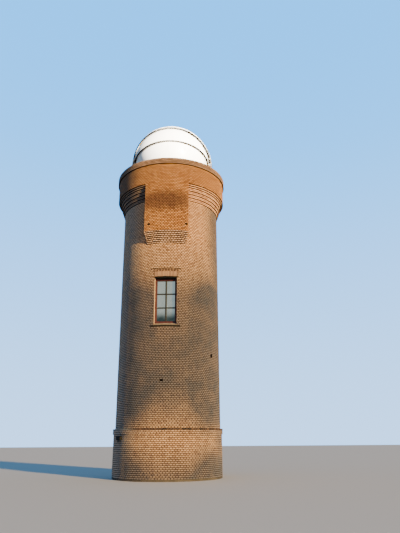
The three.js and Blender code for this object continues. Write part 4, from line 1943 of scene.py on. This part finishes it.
@dataclass
class DomeFoot:
    """What carries the shells: the fixed base, the curb under it and the pivot pins.

    Attributes:
        finishes: The tower's finishes.
        radius: Outer radius of the base.
        skin: Its thickness.
        drop: How far it reaches below the pivots.
        edge: Angle of its upper edges above the level, in degrees.
        hub: Radius of its rise round each pin.
        curb: Inner and outer radius of the curb.
    """

    finishes: Finishes
    radius: float = 1.915
    skin: float = 0.012
    drop: float = 1.150
    edge: float = 20.0
    hub: float = 0.150
    curb: tuple[float, float] = (1.465, 1.565)

    def build(self) -> None:
        """Builds the base, curb and pins."""
        base = self.base().raised(PIVOT_Z)
        gelcoat = self.finishes.gelcoat
        placed("dome_base_panel", base, gelcoat, nodes=("dome_base",), sharp=32.0)
        self.curb_ring()
        self.pins()

    def base(self) -> Form:
        """The fixed band under the shells.

        With y = R cos a, edge angle e and hub radius h, its upper edge at azimuth a lies at the greater of
        |y| tan e / sqrt(1 + 0.9 tan^2 e) and sqrt(h^2 - y^2), so that it rises to carry the pins. Between
        that and the foot the band follows the sphere.

        Returns:
            A closed band.
        """
        near = np.radians(np.linspace(-8, 8, 33))
        far = np.radians(np.linspace(8, 172, 84))[1:-1]
        halfway = np.concatenate([near, far]) + np.pi / 2
        azimuth = np.unique(np.round(np.mod(np.concatenate([halfway, halfway + np.pi]), FULL_TURN), 9))
        across = np.abs(self.radius * np.cos(azimuth))
        hub = np.sqrt(np.maximum(self.hub**2 - across**2, 0.0))
        slope = np.tan(np.radians(self.edge))
        top = np.maximum(across * slope / np.sqrt(1 + 0.9 * slope**2), hub)
        rows = []
        for radius, order in ((self.radius, 1), (self.radius - self.skin, -1)):
            part = np.linspace(0, 1, 26)[::order]
            height = -self.drop + (top[:, None] + self.drop) * part
            level = np.sqrt(radius**2 - height**2)
            rows.append(polar(level, azimuth[:, None], height))
        return woven(np.concatenate(rows, axis=1), True)

    def curb_ring(self) -> None:
        """Builds the curb: a ring with a foot, a rail and upright battens over its joints."""
        inner, outer = self.curb
        low, high = ROOF_TOP + 0.0005, PIVOT_Z - self.drop - 0.0005
        ring = [
            (inner, low), (outer, low), (outer, low + 0.09), (outer - 0.014, low + 0.10),
            (outer - 0.014, high - 0.07), (outer - 0.002, high - 0.06), (outer - 0.002, high),
            (inner, high),
        ]
        wall, gelcoat = round_sweep(ring), self.finishes.gelcoat
        placed("dome_curb_ring", wall, gelcoat, nodes=("dome_curb",), sharp=30.0)
        count = 24
        azimuth = (np.arange(count) + 0.5) * FULL_TURN / count
        battens = blocks(azimuth, 0.03, low + 0.1, high - 0.07, outer - 0.03, outer - 0.002, 0.5)
        placed("dome_curb_battens", battens, gelcoat)

    def pins(self) -> None:
        """Builds the two pins, turned about the pivot axis: head, shank, washer and nut."""
        head = 1.897
        outline = [
            (head - 0.040, 0.0), (head - 0.040, 0.050), (head - 0.036, 0.055), (head - 0.003, 0.055),
            (head - 0.001, 0.050), (head - 0.001, 0.0295), (2.166, 0.0295), (2.166, 0.068),
            (2.168, 0.070), (2.174, 0.070), (2.176, 0.068), (2.176, 0.046), (2.187, 0.046),
            (2.1895, 0.043), (2.1895, 0.0),
        ]
        right = lathe_turned(outline, 36).raised(PIVOT_Z)
        for name, pin in (("right", right), ("left", right.mirrored())):
            nodes = (f"pivot_pin_{name}",)
            placed(f"pin_{name}", pin, self.finishes.steel, nodes=nodes, sharp=30.0)


def dress_walls(nodes: dict[str, Object], finishes: Finishes) -> None:
    """Gives the CAD walls and floors that still show their mortar and concrete.

    Args:
        nodes: CAD objects by name.
        finishes: The tower's finishes.
    """
    for name, node in nodes.items():
        if name.startswith(("plinth_", "shaft_")):
            finish = finishes.cream_mortar
        elif name.startswith("drum_wall_"):
            finish = finishes.ochre_mortar
        elif name == "foundation_slab":
            finish = finishes.dark_concrete
        elif name in ("upper_floor", "roof_slab", "door_lintel"):
            finish = finishes.concrete
        else:
            continue
        node.data.materials.clear()
        node.data.materials.append(finish)


def put(made: Object, right: np.ndarray, up: np.ndarray, back: np.ndarray, place: np.ndarray) -> None:
    """Puts a camera or a lamp into the scene, turned by its three axes.

    Args:
        made: The object.
        right: Which way its right side points.
        up: Which way its top points.
        back: Which way its back points.
        place: Where it stands.
    """
    pose = np.eye(4)
    pose[:3] = np.stack([right, up, back, place], axis=1)
    made.matrix_world = Matrix(pose.tolist())
    bpy.context.scene.collection.objects.link(made)


@dataclass(frozen=True)
class Viewpoint:
    """Where the photograph was taken: low, in front, looking up at the head.

    Attributes:
        place: The camera's place.
        turn: Turn to the right, rise above the level and tilt, in degrees.
        lens: Focal length in millimetres.
        picture: Width of the picture behind the lens in millimetres.
    """

    place: tuple[float, float, float] = (1.987, -23.604, 1.492)
    turn: tuple[float, float, float] = (-1.205, 19.361, -0.409)
    lens: float = 33.64
    picture: float = 36.0

    def add_camera(self) -> None:
        """Sets the camera."""
        yaw, pitch, roll = np.radians(self.turn)
        ahead = np.array([np.sin(yaw) * np.cos(pitch), np.cos(yaw) * np.cos(pitch), np.sin(pitch)])
        level = np.array([np.cos(yaw), -np.sin(yaw), 0.0])
        above = np.cross(level, ahead)
        right = np.cos(roll) * level + np.sin(roll) * above
        up = np.cos(roll) * above - np.sin(roll) * level
        data = bpy.data.cameras.new("camera")
        data.lens, data.sensor_width, data.clip_end = self.lens, self.picture, 500.0
        camera = bpy.data.objects.new("camera", data)
        put(camera, right, up, -ahead, np.array(self.place))
        bpy.context.scene.camera = camera


def aimed(lamp: Object, place: np.ndarray, target: np.ndarray) -> None:
    """Puts a lamp at a place and turns it to a target.

    Args:
        lamp: The lamp's object.
        place: Where it stands.
        target: What it shines at.
    """
    back = (place - target) / np.linalg.norm(place - target)
    side = np.cross([0.0, 0.0, 1.0], back)
    side /= np.linalg.norm(side)
    put(lamp, side, np.cross(back, side), back, place)


def lit(kind: str, name: str, energy: float, colour: tuple, **settings: float | str) -> Object:
    """Makes a lamp.

    Args:
        kind: Blender's name of the type.
        name: Its name.
        energy: Its power, or its irradiance for a sun.
        colour: Its colour.
        **settings: Further properties.

    Returns:
        The lamp's object, not yet in the scene.
    """
    data = bpy.data.lights.new(name, kind)
    data.energy, data.color = energy, colour
    for key, value in settings.items():
        setattr(data, key, value)
    return bpy.data.objects.new(name, data)


def towards(azimuth: float, height: float, distance: float, middle: np.ndarray) -> np.ndarray:
    """Finds a place by its direction.

    Args:
        azimuth: The azimuth in degrees.
        height: Degrees above the level.
        distance: How far it is from the middle.
        middle: Where the distance starts.

    Returns:
        The place.
    """
    turn, rise = np.radians([azimuth, height])
    ray = np.array([np.sin(turn) * np.cos(rise), -np.cos(turn) * np.cos(rise), np.sin(rise)])
    return middle + distance * ray


def staged(name: str, points: np.ndarray, faces: np.ndarray, finish: Material) -> Object:
    """Makes a piece of the stage, which is not part of the tower.

    Args:
        name: Its name.
        points: Its points.
        faces: Point numbers of each face.
        finish: Its material.

    Returns:
        The object.
    """
    mesh = bpy.data.meshes.new(name)
    mesh.from_pydata(points.tolist(), [], faces.tolist())
    mesh.materials.append(finish)
    made = bpy.data.objects.new(name, mesh)
    bpy.context.scene.collection.objects.link(made)
    return made


def add_stage() -> None:
    """Sets out a plain pale floor, a sky, a low warm key light, a spot on the dome and a soft card."""
    finish, tree, _ = new_finish("pale_floor")
    finished(tree, linear("#d6d3cd"), 0.9)
    square = np.array([[-1.0, -1.0, 0.0], [1.0, -1.0, 0.0], [1.0, 1.0, 0.0], [-1.0, 1.0, 0.0]])
    staged("floor", square * 160.0, np.arange(4)[None], finish).location.z = -0.002
    add_backdrop()
    middle = np.array([0.0, 0.0, 8.0])
    head = np.array([0.0, -1.0, 16.4])
    key = lit("SUN", "key", 9.9, (1.0, 0.66, 0.26), angle=np.radians(3.0))
    aimed(key, towards(41.0, 10.0, 50.0, middle), middle)
    snoot = lit("SPOT", "dome_light", 450000.0, (1.0, 0.95, 0.86), spot_size=np.radians(8.8), spot_blend=0.15)
    snoot.data.shadow_soft_size = 0.3
    aimed(snoot, towards(36.0, 20.0, 30.0, head), head)
    card = lit("AREA", "card", 750.0, (1.0, 0.83, 0.5), shape="RECTANGLE", size=30.0, size_y=20.0)
    card.visible_camera = False
    aimed(card, np.array([-5.5, -60.0, 23.6]), middle)
    world = bpy.data.worlds.new("soft_sky")
    world.use_nodes = True
    background = world.node_tree.nodes["Background"]
    background.inputs["Color"].default_value = (0.22, 0.54, 1.0, 1.0)
    background.inputs["Strength"].default_value = 0.52
    bpy.context.scene.world = world


def add_backdrop() -> None:
    """Sets a plain pale backdrop far behind the tower, seen from every side and lighting nothing.

    It is a band round the stage: at azimuth a and height z its points are (R sin a, R cos a, z).
    """
    finish, tree, place = new_finish("pale_backdrop")
    height = add_node(tree, "ShaderNodeSeparateXYZ", {0: place}).outputs["Z"]
    rising = combined(tree, "MULTIPLY", (height, -20.0, 200.0))
    sockets = {0: rising, 6: (0.34, 0.60, 1.0, 1.0), 7: (0.05, 0.40, 1.0, 1.0)}
    colour = add_node(tree, "ShaderNodeMix", sockets, data_type="RGBA").outputs[2]
    glow = add_node(tree, "ShaderNodeEmission", {"Color": colour, "Strength": 2.7}).outputs[0]
    add_node(tree, "ShaderNodeOutputMaterial", {"Surface": glow})
    turn = (np.arange(65) * FULL_TURN / 64)[:, None]
    level = np.array([-30.0, 60.0, 150.0, 240.0])
    reach = 250.0 * np.array([1.0, 1.0, 0.85, 0.4])
    points = stacked(np.sin(turn) * reach, np.cos(turn) * reach, level).reshape(-1, 3)
    first = (np.arange(64)[:, None] * 4 + np.arange(3)).ravel()
    backdrop = staged("backdrop", points, np.stack([first, first + 1, first + 5, first + 4], 1), finish)
    for ray in ("diffuse", "glossy", "transmission", "volume_scatter", "shadow"):
        setattr(backdrop, f"visible_{ray}", False)


def corners(box: tuple) -> list[list[float]]:
    """Returns a box's two corners as plain lists."""
    return [[float(value) for value in corner] for corner in box]


def main() -> None:
    """Loads the frame and builds every piece round it."""
    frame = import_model()
    Viewpoint().add_camera()
    add_stage()
    finishes = Finishes()
    bricks = Brickwork()
    dress_walls(frame["nodes"], finishes)
    Tower(finishes, bricks).build()
    Crown(finishes, bricks).build()
    for side in Side:
        WindowJoinery(finishes, side).build()
    Door(finishes).build()
    WallFitting(finishes).build()
    DomeFoot(finishes).build()
    front, rear, outward = Side.FRONT, Side.REAR, Lap.OUTWARD
    for shell in (
        DomeShell(finishes, "front_mid", 2.000, (11.0, 53.0), front, 1.965, outward, 2.069, MID_SHADE_STRIP),
        DomeShell(finishes, "front_top", 2.105, (45.0, 91.5), front, 2.050, shade_strip=FRONT_SHADE_STRIP),
        DomeShell(finishes, "rear_mid", 2.050, (11.0, 53.0), rear, 1.965, outward, 2.124),
        DomeShell(finishes, "rear_top", 2.160, (46.0, 100.0), rear, 2.100, Lap.INWARD, 2.129, REAR_SHADE_STRIP),
    ):
        shell.build()


if __name__ == "__main__":
    logging.basicConfig(level=logging.INFO, format="%(message)s")
    main()
